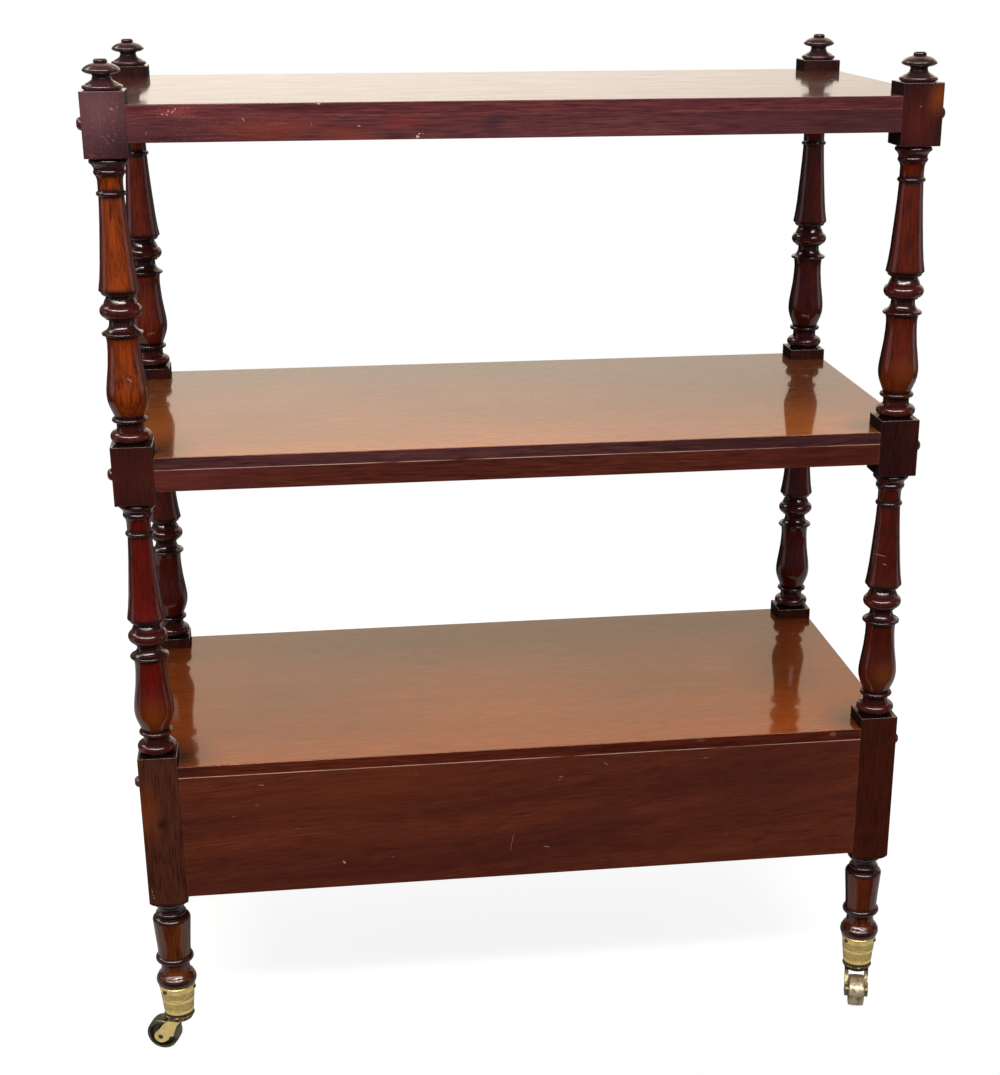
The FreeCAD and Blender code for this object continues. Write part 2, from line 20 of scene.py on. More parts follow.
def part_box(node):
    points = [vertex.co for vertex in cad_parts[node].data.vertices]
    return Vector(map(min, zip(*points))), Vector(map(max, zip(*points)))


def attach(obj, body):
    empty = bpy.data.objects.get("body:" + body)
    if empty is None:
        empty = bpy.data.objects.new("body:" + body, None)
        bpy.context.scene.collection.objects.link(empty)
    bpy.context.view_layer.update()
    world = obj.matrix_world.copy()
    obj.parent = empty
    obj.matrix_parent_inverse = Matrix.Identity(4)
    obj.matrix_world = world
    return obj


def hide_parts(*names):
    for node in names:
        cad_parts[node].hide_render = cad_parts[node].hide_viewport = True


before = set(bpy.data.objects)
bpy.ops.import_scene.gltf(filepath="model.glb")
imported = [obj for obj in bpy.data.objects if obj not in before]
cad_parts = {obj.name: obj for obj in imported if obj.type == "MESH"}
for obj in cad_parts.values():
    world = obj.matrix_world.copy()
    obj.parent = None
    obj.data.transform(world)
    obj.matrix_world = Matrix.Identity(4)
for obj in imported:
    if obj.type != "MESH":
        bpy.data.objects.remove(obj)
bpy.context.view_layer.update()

# %% [markdown]
# ## Sizes the looks depend on
#
# The faded top of a board ends at its edge, and a brass cup sits on the axis of its post.
# So the first step is to read these places from the frame.

# %% Where the pieces are
MM = 0.001
TIERS = ("bottom", "middle", "top")
shelf_top = {tier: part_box("shelf_" + tier)[1].z for tier in TIERS}

CORNERS = ("front_left", "front_right", "back_left", "back_right")
post_axis = {}
for corner in CORNERS:
    low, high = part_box("castor_cup_" + corner)
    post_axis[corner] = (low + high) / 2
    post_axis[corner].z = 0
print("shelf tops at", {tier: round(z, 3) for tier, z in shelf_top.items()})

# %% [markdown]
# ## Colours
#
# A colour is given as an sRGB hex value, but a shader reckons with linear light.
# One function turns the first into the second.

# %% One function for colours
def linear(hex_colour):
    """The linear RGBA of an sRGB hex value."""
    parts = [int(hex_colour[i:i + 2], 16) / 255 for i in (1, 3, 5)]
    return [p / 12.92 if p <= 0.04045 else ((p + 0.055) / 1.055) ** 2.4 for p in parts] + [1.0]

print("polish brown in linear light:", [round(v, 3) for v in linear("#4a1a13")])

# %% [markdown]
# ## Nodes
#
# Materials are small networks. One function adds a node, sets its properties and fills its
# inputs with numbers, hex colours, or links to other nodes. The ends of a range go together,
# under "From" or "To". Two masks come back often, noise in patches and a stretch of height,
# so each has a function.

# %% Functions for nodes
def add(tree, kind, inputs=None, stops=None, **settings):
    """Adds a node. Inputs are named by name or place; stops are the marks of a colour ramp."""
    node = tree.nodes.new("ShaderNode" + kind)
    for name, value in settings.items():
        setattr(node, name, value)
    if stops:
        ramp = node.color_ramp.elements
        ramp.remove(ramp[1])
        ramp[0].position, ramp[0].color = stops[0][0], linear(stops[0][1])
        for place, colour in stops[1:]:
            ramp.new(place).color = linear(colour)
    usable = [socket for socket in node.inputs if socket.enabled]
    inputs = dict(inputs or {})
    for ends in ("From", "To"):
        if ends in inputs:
            inputs[ends + " Min"], inputs[ends + " Max"] = inputs.pop(ends)
    for name, value in inputs.items():
        named = (s for s in usable if s.name == name)
        socket = usable[name] if isinstance(name, int) else next(named)
        if isinstance(value, bpy.types.Node):
            value = next(s for s in value.outputs if s.enabled)
        if isinstance(value, bpy.types.NodeSocket):
            tree.links.new(value, socket)
        else:
            socket.default_value = linear(value) if isinstance(value, str) else value
    return node


def new_material(name):
    """A material and its empty node tree."""
    material = bpy.data.materials.new(name)
    material.use_nodes = True
    material.node_tree.nodes.clear()
    return material, material.node_tree


def patches(tree, space, size, low, high, detail=1.0, least=0.0, most=1.0):
    """Noise in blobs of so many mm, from least to most between two of its values."""
    noise = add(tree, "TexNoise", {"Vector": space, "Scale": 1 / (size * MM), "Detail": detail})
    return add(tree, "MapRange", {"Value": noise, "From": (low, high), "To": (least, most)})


def between(tree, height, low, high, fade, most=1.0):
    """From 0 outside two heights to most inside them, over a fade at each end."""
    above = add(tree, "MapRange", {"Value": height, "From": (low, low + fade)})
    below = add(tree, "MapRange", {"Value": height, "From": (high, high - fade), "To": (0, most)})
    return add(tree, "Math", {0: above, 1: below}, operation="MULTIPLY")

# %% [markdown]
# ## Mahogany under French polish
#
# The wood is Honduras mahogany, stained red-brown and French polished: shellac rubbed on in
# many thin coats with a pad. The eye gets three things from it:
#
# - the wood's own pattern: bands a few centimetres wide, fibres under a millimetre wide,
#   and open pores, short dark dashes along the grain
# - a clear, thin, glossy film on top, with an IOR of about 1.5
# - age: dirt in the grooves of the turnings, and thin, paler polish on the edges that hands
#   and dusters reach
#
# The pattern is a solid one, worked out in space as in a real log, so that it runs round a
# turned column and over the end of a board. Noise is squeezed along the grain, so that its
# blobs become long fibres.

# %% How long and how wide a fibre is
GRAIN = {"x": (1 / 20, 1, 1), "y": (1, 1 / 20, 1), "z": (1, 1, 1 / 16)}
BAND = 1 / (30 * MM)
FIBRE = 1 / (1.9 * MM)    # real fibres are finer; at this width they still show
PORE = 1 / (1.3 * MM)     # real pores are 0.2 mm wide; drawn coarser so that they show
print("bands, fibres and pores per metre:", round(BAND), round(FIBRE), round(PORE))

# %% [markdown]
# The wood comes first, without its film: `wood_pattern` returns the coordinates it used, the
# colour, and two masks that the film uses later: where pores are, and how dense the fibres.
# Its four colours go from dark to pale. `banding` says how strong the broad bands are,
# `figure` how strong the fine rings.

# %% The wood's own pattern
def wood_pattern(tree, along, seed, colours, waviness=0.012, figure=0.25, tilt=0.0, contrast=1.0,
                 banding=0.8, spread=(0.0, 0.35, 0.62, 1.0)):
    """Coordinates, colour, pores and fibres of mahogany with its grain along an axis."""
    space = add(tree, "TexCoord").outputs["Object"]
    tilted = add(tree, "VectorRotate", {
        "Vector": space, "Angle": math.radians(tilt)}, rotation_type="Y_AXIS")
    wander = add(tree, "TexNoise", {"Vector": space, "Scale": 4.0, "Detail": 1.0})
    wander = add(tree, "VectorMath", {
        0: wander.outputs["Color"], 1: (0.5, 0.5, 0.5)}, operation="SUBTRACT")
    wander = add(tree, "VectorMath", {0: wander, "Scale": waviness}, operation="SCALE")
    bent = add(tree, "VectorMath", {0: tilted, 1: wander}, operation="ADD")
    squeezed = add(tree, "VectorMath", {0: bent, 1: GRAIN[along]}, operation="MULTIPLY")
    place = (0.37 * seed, 0.71 * seed, 0.53 * seed)
    grain = add(tree, "VectorMath", {0: squeezed, 1: place}, operation="ADD")

    bands = add(tree, "TexNoise", {"Vector": grain, "Scale": BAND, "Detail": 3.0})
    fibres = add(tree, "TexNoise", {
        "Vector": grain, "Scale": FIBRE, "Detail": 5.0, "Roughness": 0.62})
    pores = add(tree, "TexNoise", {"Vector": grain, "Scale": PORE, "Detail": 1.0})
    pores = add(tree, "MapRange", {"Value": pores, "From": (0.55, 0.70)})
    rings = add(tree, "TexNoise", {"Vector": grain, "Scale": BAND / 3.5, "Detail": 1.0})
    rings = add(tree, "Math", {0: rings, 1: 90.0}, operation="MULTIPLY")
    rings = add(tree, "Math", {0: rings}, operation="SINE")

    tone = add(tree, "Math", {0: bands, 1: banding, 2: -banding / 2}, operation="MULTIPLY_ADD")
    tone = add(tree, "Math", {0: fibres, 1: 1.30 * contrast, 2: tone}, operation="MULTIPLY_ADD")
    tone = add(tree, "Math", {0: rings, 1: figure * 0.12, 2: tone}, operation="MULTIPLY_ADD")
    tone = add(tree, "Math", {0: tone, 1: 0.65 * contrast - 0.5}, operation="SUBTRACT")
    colour = add(tree, "ValToRGB", {"Fac": tone}, stops=list(zip(spread, colours)))
    shade = add(tree, "Math", {0: pores, 1: 0.55}, operation="MULTIPLY")
    colour = add(tree, "Mix", {"Factor": shade, "A": colour, "B": colours[0]}, data_type="RGBA")
    return space, colour, pores, fibres

# %% [markdown]
# Age comes next. Ambient occlusion finds where a surface is enclosed: dirt and old wax stay
# there, and the darkening there is also painted shade. The same node turned inside out finds
# the edges that stick out: there the polish is worn thin and the wood shows paler.

# %% Dirt and painted shade in the grooves, wear on the edges
GROOVE_REACH = 7 * MM
EDGE_REACH = 1.6 * MM
DIRT_AND_SHADE = "#0d0605"


def aged(tree, space, colour, worn_colour, dirt=0.92, wear=0.55):
    """The colour with dirt, painted shade and wear on it, and how worn or dirty the film is, from 0
    to 1.
    """
    # dirt and painted shade: darker where the surface is enclosed
    open_sky = add(tree, "AmbientOcclusion", {"Distance": GROOVE_REACH}, samples=6, only_local=True)
    groove_dirt_and_shade = add(tree, "MapRange", {
        "Value": open_sky.outputs["AO"], "From": (0.90, 0.56), "To": (0, dirt)})
    colour = add(tree, "Mix", {"Factor": groove_dirt_and_shade, "A": colour, "B": DIRT_AND_SHADE}, data_type="RGBA")
    inside_sky = add(tree, "AmbientOcclusion", {
        "Distance": EDGE_REACH}, samples=6, inside=True, only_local=True)
    edge = add(tree, "MapRange", {"Value": inside_sky.outputs["AO"], "From": (0.80, 0.35)})
    rubbed = patches(tree, space, 16, 0.42, 0.66, detail=4.0, most=wear)
    worn = add(tree, "Math", {0: edge, 1: rubbed}, operation="MULTIPLY")
    colour = add(tree, "Mix", {"Factor": worn, "A": colour, "B": worn_colour}, data_type="RGBA")
    worn = add(tree, "Math", {0: groove_dirt_and_shade, 1: 1.3, 2: worn}, operation="MULTIPLY_ADD", use_clamp=True)
    return colour, worn

# %% [markdown]
# Nicks and scratches are ellipses: the space round each is shifted, turned and scaled until
# the mark is a ball of radius one, so the distance from its middle says what is inside.
# Fine noise breaks an area of small chips into specks. A stain fades out softly, and so do the
# patches of painted shadow and painted reflection.

# %% Marks
CRISP, SPECKLED, SOFT = 0, 1, 2
FRONT, EDGE = -0.2095, -0.2087    # y of the fronts of blocks and rails, and of board edges
DEEP = {CRISP: 9, SPECKLED: 9, SOFT: 60}    # how far a mark reaches into the piece, mm
RAGGED = 3.0 * MM


def marked(tree, space, colour, marks):
    """Paints marks: middle (m), turn (degrees), half sizes (mm), colour, strength, edge."""
    ragged = add(tree, "TexNoise", {"Vector": space, "Scale": 1 / (4 * MM), "Detail": 3.0})
    ragged = add(tree, "VectorMath", {
        0: ragged.outputs["Color"], "Scale": RAGGED}, operation="SCALE")
    near = add(tree, "VectorMath", {0: space, 1: ragged}, operation="ADD")
    chips = patches(tree, space, 2.4, 0.60, 0.66)
    for middle, turn, half, paint, strength, edge in marks:
        middle = [value + RAGGED / 2 for value in middle]    # the noise shifts space so far
        turn = [math.radians(angle) for angle in turn]
        local = add(tree, "Mapping", {
            "Vector": near, "Location": middle, "Rotation": turn,
            "Scale": [size * MM for size in half]}, vector_type="TEXTURE")
        away = add(tree, "VectorMath", {0: local}, operation="LENGTH").outputs["Value"]
        full = 0.0 if edge == SOFT else 0.6
        inside = add(tree, "MapRange", {"Value": away, "From": (1.0, full), "To": (0, strength)})
        if edge == SPECKLED:
            inside = add(tree, "Math", {0: inside, 1: chips}, operation="MULTIPLY")
        colour = add(tree, "Mix", {"Factor": inside, "A": colour, "B": paint}, data_type="RGBA")
    return colour


def on_face(y, rows, deep=None):
    """Marks on an upright face: x, z, turn, half width, half height, colour, strength, edge."""
    return [((x, y, z), (0, turn, 0), (wide, deep or DEEP[edge], high), paint, strength, edge)
            for x, z, turn, wide, high, paint, strength, edge in rows]


def on_top(z, rows):
    """Marks on a flat top: x, y, turn, half length, half width, colour, strength, edge."""
    return [((x, y, z), (0, 0, turn), (long, wide, DEEP[CRISP]), paint, strength, edge)
            for x, y, turn, long, wide, paint, strength, edge in rows]

# %% [markdown]
# The film is a coat: clear, IOR 1.5, nearly smooth. Under it the wood itself hardly
# reflects, because the shellac wets it, so its specular level is low and its roughness is
# that of sanded wood. The film ripples slightly where the pad passed, and in narrower strips
# on a turned post, which bends the reflections. Over dense fibres it stands thick, over open
# ones it has sunk in.

# %% The shellac film
def polished(tree, space, colour, pores, fibres, worn, gloss=0.06, under=0.18, uneven=0.10,
             ripples=35):
    """Joins colour and film in one shader; ripples is their distance in mm."""
    rough = add(tree, "MapRange", {"Value": fibres, "From": (0.3, 0.7), "To": (0.34, 0.52)})
    rough = add(tree, "Math", {0: worn, 1: 0.2, 2: rough}, operation="MULTIPLY_ADD")
    height = add(tree, "Math", {0: pores, 1: -1.0, 2: fibres}, operation="MULTIPLY_ADD")
    grain_bump = add(tree, "Bump", {"Height": height, "Strength": 0.35, "Distance": 0.10 * MM})
    ripple = add(tree, "TexNoise", {"Vector": space, "Scale": 1 / (ripples * MM), "Detail": 2.0})
    film_bump = add(tree, "Bump", {"Height": ripple, "Strength": 0.5, "Distance": 0.12 * MM})
    sunk = add(tree, "Bump", {
        "Height": pores, "Strength": 0.25, "Distance": 0.03 * MM, "Normal": film_bump}, invert=True)
    left = add(tree, "MapRange", {"Value": fibres, "From": (0.35, 0.65), "To": (1 - uneven, 1)})
    left = add(tree, "Math", {0: worn, 1: -0.5, 2: left}, operation="MULTIPLY_ADD")
    shader = add(tree, "BsdfPrincipled", {
        "Base Color": colour, "Roughness": rough, "IOR": 1.5, "Specular IOR Level": under,
        "Normal": grain_bump, "Coat Weight": left, "Coat Roughness": gloss, "Coat IOR": 1.5,
        "Coat Normal": sunk,
    })
    add(tree, "OutputMaterial", {"Surface": shader})

# %% [markdown]
# ## The red-brown outside: posts, finials, rails and aprons
#
# These were stained darkest, to look like one dense old timber. Each piece was sawn from
# another plank, so each gets its own seed.

# %% Red-brown polished mahogany
RED_BROWN = ("#260d07", "#43180e", "#592315", "#76371d")
DARK_BROWN = ("#140606", "#270e0c", "#371611", "#522417")
# the finials' brown, wood tone lightened towards purple-grey for a painted sheen
SHEENED_DUSKY_BROWN = ("#1c0d0f", "#341c1d", "#48292a", "#643e38")
WORN_RED = "#8e5636"
PAINTED_LEDGE_GLINT = "#e2c4b6"
SIDE_SHADE_RED = "#5a1406"
DARK_STREAK = "#2a0e06"
PAINTED_SIDE_SHADE = "#1c0f0e"
SPAN_FADE = 4 * MM


def red_mahogany(name, along, seed, colours=RED_BROWN, marks=(), clear=(), ledge=None, inward=0,
                 under=0.18, ripples=35, wear=0.55, **pattern):
    """Stained and polished mahogany.

    clear: spans where the stain is thin, as (low, high, tint), with painted shade towards the
    sides of a turning. ledge: a painted highlight along the top edge, as (height, strength).
    inward: 1 or -1 along X, the side that faces the boards, which gets painted shade. pattern:
    what `wood_pattern` takes after the colours.
    """
    material, tree = new_material("french_polished_mahogany_" + name)
    space, colour, pores, fibres = wood_pattern(tree, along, seed, colours, **pattern)
    height = add(tree, "SeparateXYZ", {0: space}).outputs["Z"]
    # painted highlight: a pale hairline in patches along the top edge, where light catches the
    # ledge under the board
    if ledge:
        top, strength = ledge
        painted_glint = patches(tree, space, 60, 0.30, 0.55, detail=5.0, most=strength)
        on_ledge = add(tree, "MapRange", {
            "Value": height, "From": (top - 0.5 * MM, top - 0.2 * MM)})
        painted_glint = add(tree, "Math", {0: painted_glint, 1: on_ledge}, operation="MULTIPLY")
        colour = add(tree, "Mix", {"Factor": painted_glint, "A": colour, "B": PAINTED_LEDGE_GLINT}, data_type="RGBA")
    if clear:
        stretched = add(tree, "VectorMath", {0: space, 1: (1, 1, 0.35)}, operation="MULTIPLY")
        mottle = patches(tree, stretched, 11, 0.36, 0.62, detail=4.0)
        streaks = add(tree, "MapRange", {"Value": fibres, "From": (0.34, 0.66), "To": (0.05, 0.95)})
        streaks = add(tree, "Math", {
            0: mottle, 1: 0.40, 2: streaks}, operation="MULTIPLY_ADD", use_clamp=True)
        # painted shade: towards the sides of a turning the glow fades and turns a deeper red
        facing = add(tree, "LayerWeight", {"Blend": 0.5}).outputs["Facing"]
        lit_front_shaded_sides = add(tree, "MapRange", {
            "Value": facing, "From": (0.25, 0.70), "To": (0.84, 0.34)})
        painted_side_shade = add(tree, "MapRange", {"Value": facing, "From": (0.04, 0.30), "To": (0, 0.60)})
    for low, high, tint in clear:
        span = between(tree, height, low, high, SPAN_FADE)
        span = add(tree, "Math", {0: span, 1: lit_front_shaded_sides}, operation="MULTIPLY")
        tinted = add(tree, "Mix", {"Factor": painted_side_shade, "A": tint, "B": SIDE_SHADE_RED}, data_type="RGBA")
        glow = add(tree, "Mix", {
            "Factor": streaks, "A": DARK_STREAK, "B": tinted}, data_type="RGBA")
        colour = add(tree, "Mix", {"Factor": span, "A": colour, "B": glow}, data_type="RGBA")
    if marks:
        colour = marked(tree, space, colour, marks)
    colour, worn = aged(tree, space, colour, WORN_RED, wear=wear)
    if inward:
        # painted shade on the block faces that look along the boards, where the film is also
        # thinner
        normal = add(tree, "SeparateXYZ", {
            0: add(tree, "NewGeometry").outputs["Normal"]}).outputs["X"]
        dull = add(tree, "MapRange", {"Value": normal, "From": (0.95 * inward, 0.99 * inward)})
        colour = add(tree, "Mix", {"Factor": dull, "A": colour, "B": PAINTED_SIDE_SHADE}, data_type="RGBA")
        worn = add(tree, "Math", {0: dull, 1: 1.8, 2: worn}, operation="MULTIPLY_ADD")
    polished(tree, space, colour, pores, fibres, worn, under=under, ripples=ripples)
    return material

# %% Dress a piece
def dress(node, material):
    """Gives every face of a CAD node one material."""
    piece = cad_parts[node]
    piece.data.materials.clear()
    piece.data.materials.append(material)

# %% [markdown]
# On the plain stretches of each turning, hands and dusters thinned the dark stain, and the
# clear wood glows through: red on most posts, amber on the front-left one. The rounds of the
# beads show a little of it, and the necks between them kept their stain. Towards the sides of
# a turning the glow gets painted shade: it fades and turns a deeper red with the angle of
# view. The faces of the blocks that look along the boards get painted shade and a thinner
# film, so those are dull and dark.

# %% Posts and finials
PLAIN_STRETCHES = ((28, 112), (158, 250), (256, 271))    # vase, shaft and neck of a column, mm
BEADS = ((2, 19), (129, 149))
BEAD_TINT = "#481a16"
FOOT_STRETCHES = ((0.124, 0.174), (0.096, 0.1185))
LOW_BLOCK = (0.199, 0.383)
BLOCK_RISE = 12.5 * MM    # how far a block stands above its board
block_top = {tier: shelf_top[tier] + BLOCK_RISE for tier in TIERS}
TINTS = {    # foot, low block, lower column, upper column
    "front_left": ("#7c4014", "#543022", "#6a0c02", "#963c04"),
    "front_right": ("#6a3010", "#401c10", "#521202", "#601a02"),
    "back_left": ("#50240e", "#40201a", "#5e1806", "#842e12"),
    "back_right": ("#50240e", "#38170c", "#4e120a", "#621c0e"),
}


def clear_spans(corner):
    """Where the clear wood shows on a post, each span with its tint."""
    foot, low_block, lower, upper = TINTS[corner]
    spans = [(*stretch, foot) for stretch in FOOT_STRETCHES] + [(*LOW_BLOCK, low_block)]
    for tier, tint in (("bottom", lower), ("middle", upper)):
        for stretches, shown in ((PLAIN_STRETCHES, tint), (BEADS, BEAD_TINT)):
            for low, high in stretches:
                spans.append((block_top[tier] + low * MM, block_top[tier] + high * MM, shown))
    return spans


COLUMN = -0.205    # y of the front of the columns
POST_MARKS = {
    "front_left": on_face(-0.206, [
        (-0.4045, 0.805, 34, 6, 0.6, "#1a0907", 0.9, CRISP),
        (-0.4065, 0.8022, 34, 4, 0.35, "#c79a7c", 0.8, CRISP),
    ], deep=40) + on_face(FRONT, [
        # a pale lavender haze on the scratched polish of the top block, with a painted sheen
        (-0.416, 1.068, 0, 58, 62, "#a8767e", 0.3, SOFT),
        (-0.395, 1.032, 0, 26, 30, "#1c0c12", 0.5, SOFT),
        (-0.408, 0.7, 0, 60, 48, "#7a3430", 0.16, SOFT),
        (-0.4, 1.068, 30, 7, 5, "#c4a4a4", 0.5, SPECKLED),
        (-0.416, 1.05, 0, 34, 46, "#a4767c", 0.1, SPECKLED),
        (-0.408, 1.04, -20, 12, 6, "#a98890", 0.2, SPECKLED),
        (-0.413, 1.05, 82, 14, 0.3, "#b89aa0", 0.14, CRISP),
        (-0.401, 1.046, 84, 8, 0.25, "#b89aa0", 0.18, CRISP),
        (-0.42, 1.058, 78, 6, 0.25, "#b89aa0", 0.16, CRISP),
        (-0.4275, 0.215, 80, 10, 0.6, "#d8c0a8", 0.8, SPECKLED),
        (-0.425, 0.316, 0, 20, 44, "#8a4014", 0.45, SOFT),
        (-0.411, 0.302, 20, 7, 9, "#180a08", 0.9, SOFT),
    ]) + on_face(COLUMN, [
        (-0.4105, 0.428, 0, 26, 30, "#7c4012", 0.6, SOFT),
    ]),
    "front_right": on_face(-0.200, [
        (0.4005, 0.5765, 4, 6.5, 0.4, "#b98a6c", 0.7, CRISP),
        (0.405, 0.5668, 18, 2.8, 0.45, "#c89a7c", 0.8, CRISP),
    ], deep=40) + on_face(FRONT, [
        (0.427, 1.07, 12, 14, 24, "#b4581c", 0.32, SOFT),
        (0.408, 1.0605, 2, 11, 1, "#c08058", 0.7, SPECKLED),
        (0.404, 1.045, 0, 26, 40, "#8c2a1c", 0.2, SOFT),
    ]) + on_face(COLUMN, [
        (0.415, 0.43, 0, 24, 26, "#74401a", 0.6, SOFT),
        (0.412, 0.78, 0, 24, 26, "#7a3c12", 0.55, SOFT),
    ]),
}
for seed, corner in enumerate(CORNERS):
    node = "post_" + corner
    wood = red_mahogany(node, "z", 3.1 + 1.7 * seed, DARK_BROWN, marks=POST_MARKS.get(corner, ()),
                        clear=clear_spans(corner), inward=1 if "left" in corner else -1,
                        under=0.04, ripples=14, contrast=0.8)
    dress(node, wood)
    node = "finial_" + corner
    dress(node, red_mahogany(node, "z", 11.3 + seed, SHEENED_DUSKY_BROWN))
print("dressed the posts and finials")

# %% [markdown]
# The rails and aprons are sawn boards. The front apron is the widest, and it is
# plain-sawn: its grain runs slightly uphill and wavers, so it gets more figure.

# %% Rails and aprons
RAIL_MARKS = {
    "apron_front": on_face(FRONT, [
        (0.0373, 0.327, -60, 6, 1.6, "#a85a3c", 0.8, SPECKLED),
        (0.0385, 0.331, 20, 2.2, 1.2, "#a85a3c", 0.8, CRISP),
        (-0.0184, 0.252, -78, 13, 0.35, "#b07a58", 0.7, CRISP),
        (0.022, 0.243, 15, 5, 0.4, "#d9b698", 0.8, CRISP),
        (-0.2113, 0.24, 60, 2.6, 1.4, "#c9a184", 0.7, CRISP),
        (-0.305, 0.318, 0, 3.2, 0.4, "#c08a68", 0.7, CRISP),
        (-0.155, 0.243, 0, 1.4, 0.8, "#b07a58", 0.7, CRISP),
        (0.235, 0.245, 80, 4, 0.4, "#8a5038", 0.6, CRISP),
        (-0.1265, 0.346, 80, 6, 0.8, "#7d402c", 0.7, CRISP),
        (0.206, 0.344, -8, 4, 0.4, "#b8846a", 0.7, CRISP),
        (-0.18, 0.33, -6, 210, 42, "#7c3a16", 0.3, SOFT),
        (0.06, 0.262, -12, 120, 26, "#34161a", 0.34, SOFT),
        (0.28, 0.315, -4, 130, 60, "#3a1612", 0.38, SOFT),
        (-0.262, 0.286, -4, 3.4, 0.4, "#a8684c", 0.7, CRISP),
        (-0.299, 0.342, 4, 4, 0.7, "#c08a68", 0.7, CRISP),
        (-0.331, 0.306, 0, 3, 0.4, "#a8684c", 0.6, CRISP),
        (0.09, 0.344, 30, 3.4, 0.5, "#c09070", 0.7, CRISP),
    ]),
    "rail_top_front": on_face(FRONT, [
        (-0.277, 1.0562, 50, 2.4, 0.5, "#e0b090", 0.7, CRISP),
        (-0.245, 1.0517, 0, 14, 0.25, "#b08070", 0.45, CRISP),
        (-0.2112, 1.0508, 70, 3.2, 0.3, "#b08878", 0.5, CRISP),
        (-0.1647, 1.0484, 0, 1.6, 0.9, "#c8a090", 0.7, CRISP),
        (-0.1055, 1.0386, -15, 5, 2.8, "#f0e0d8", 0.9, SPECKLED),
        (-0.3705, 1.0473, -60, 5, 2, "#e0b8b0", 0.8, SPECKLED),
        (-0.3, 1.047, 0, 90, 20, "#a86c64", 0.12, SPECKLED),
        (-0.3785, 1.039, 0, 2.6, 2.4, "#f0d8d0", 0.8, SPECKLED),
        (-0.251, 1.047, 0, 80, 14, "#84341a", 0.55, SOFT),
        (-0.173, 1.04, 0, 36, 10, "#8e3c1a", 0.45, SOFT),
        (-0.123, 1.0515, 0, 30, 10, "#7c2418", 0.5, SOFT),
        (-0.0325, 1.049, 0, 14, 18, "#301c2c", 0.6, SOFT),
        (0.34, 1.05, 0, 190, 80, "#2a1010", 0.5, SOFT),
    ]),
    "rail_middle_front": on_face(FRONT, [
        (-0.35, 0.705, 0, 120, 60, "#8a4240", 0.18, SOFT),
        (0.33, 0.705, 0, 150, 60, "#440c06", 0.35, SOFT),
    ]),
}
TOP_RAIL = ("#2e1213", "#4a2124", "#602e31", "#7c4440")
APRON = ("#3a150b", "#511f12", "#5f2815", "#74371e")
PLAIN_SAWN = {"waviness": 0.026, "figure": 0.4, "tilt": 4.0, "contrast": 0.8}
STRAIGHT = {"waviness": 0.010, "figure": 0.3, "banding": 0.45}
KINDS = {    # colours, painted highlight along the top, wear of the edges, pattern
    "apron": (APRON, 0.95, 0.55, PLAIN_SAWN),
    "rail_middle": (RED_BROWN, 0.95, 0.55, STRAIGHT),
    "rail_top": (TOP_RAIL, 0.0, 0.15, STRAIGHT),
}
ALONG = {"front": "x", "back": "x", "left": "y", "right": "y"}
seed = 20.0
for kind, (colours, glint_strength, wear, pattern) in KINDS.items():
    for side, along in ALONG.items():
        seed += 1.37
        node = kind + "_" + side
        ledge = (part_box(node)[1].z, glint_strength) if glint_strength else None
        wood = red_mahogany(node, along, seed, colours, marks=RAIL_MARKS.get(node, ()), ledge=ledge,
                            wear=wear, **pattern)
        dress(node, wood)
dress("bolt_caps", red_mahogany("caps", "x", 41.0))
print("dressed the rails, aprons and bolt caps")

# %% [markdown]
# ## The boards
#
# Light has bleached the tops of the shelves to an orange-brown, while their edges kept the
# red-brown of the rails. The break is sharp, at the rounded arris, so the two are told apart
# by height. Each top also gets painted shade towards the back. The tops are straight-grained,
# with short dark flecks, and hold the best polish, so they mirror the room when seen at a
# low angle, as any clear film does. It has sunk into the flecks, so they show in the mirror
# too.

# %% Faded mahogany shelf tops
PURPLE_BROWN = ("#261214", "#3e2122", "#502c2d", "#6c403a")
WORN_TOP = "#a87a52"
FLECK_BROWN = "#5e2e16"
FADED_SPREAD = (0.20, 0.42, 0.58, 0.80)
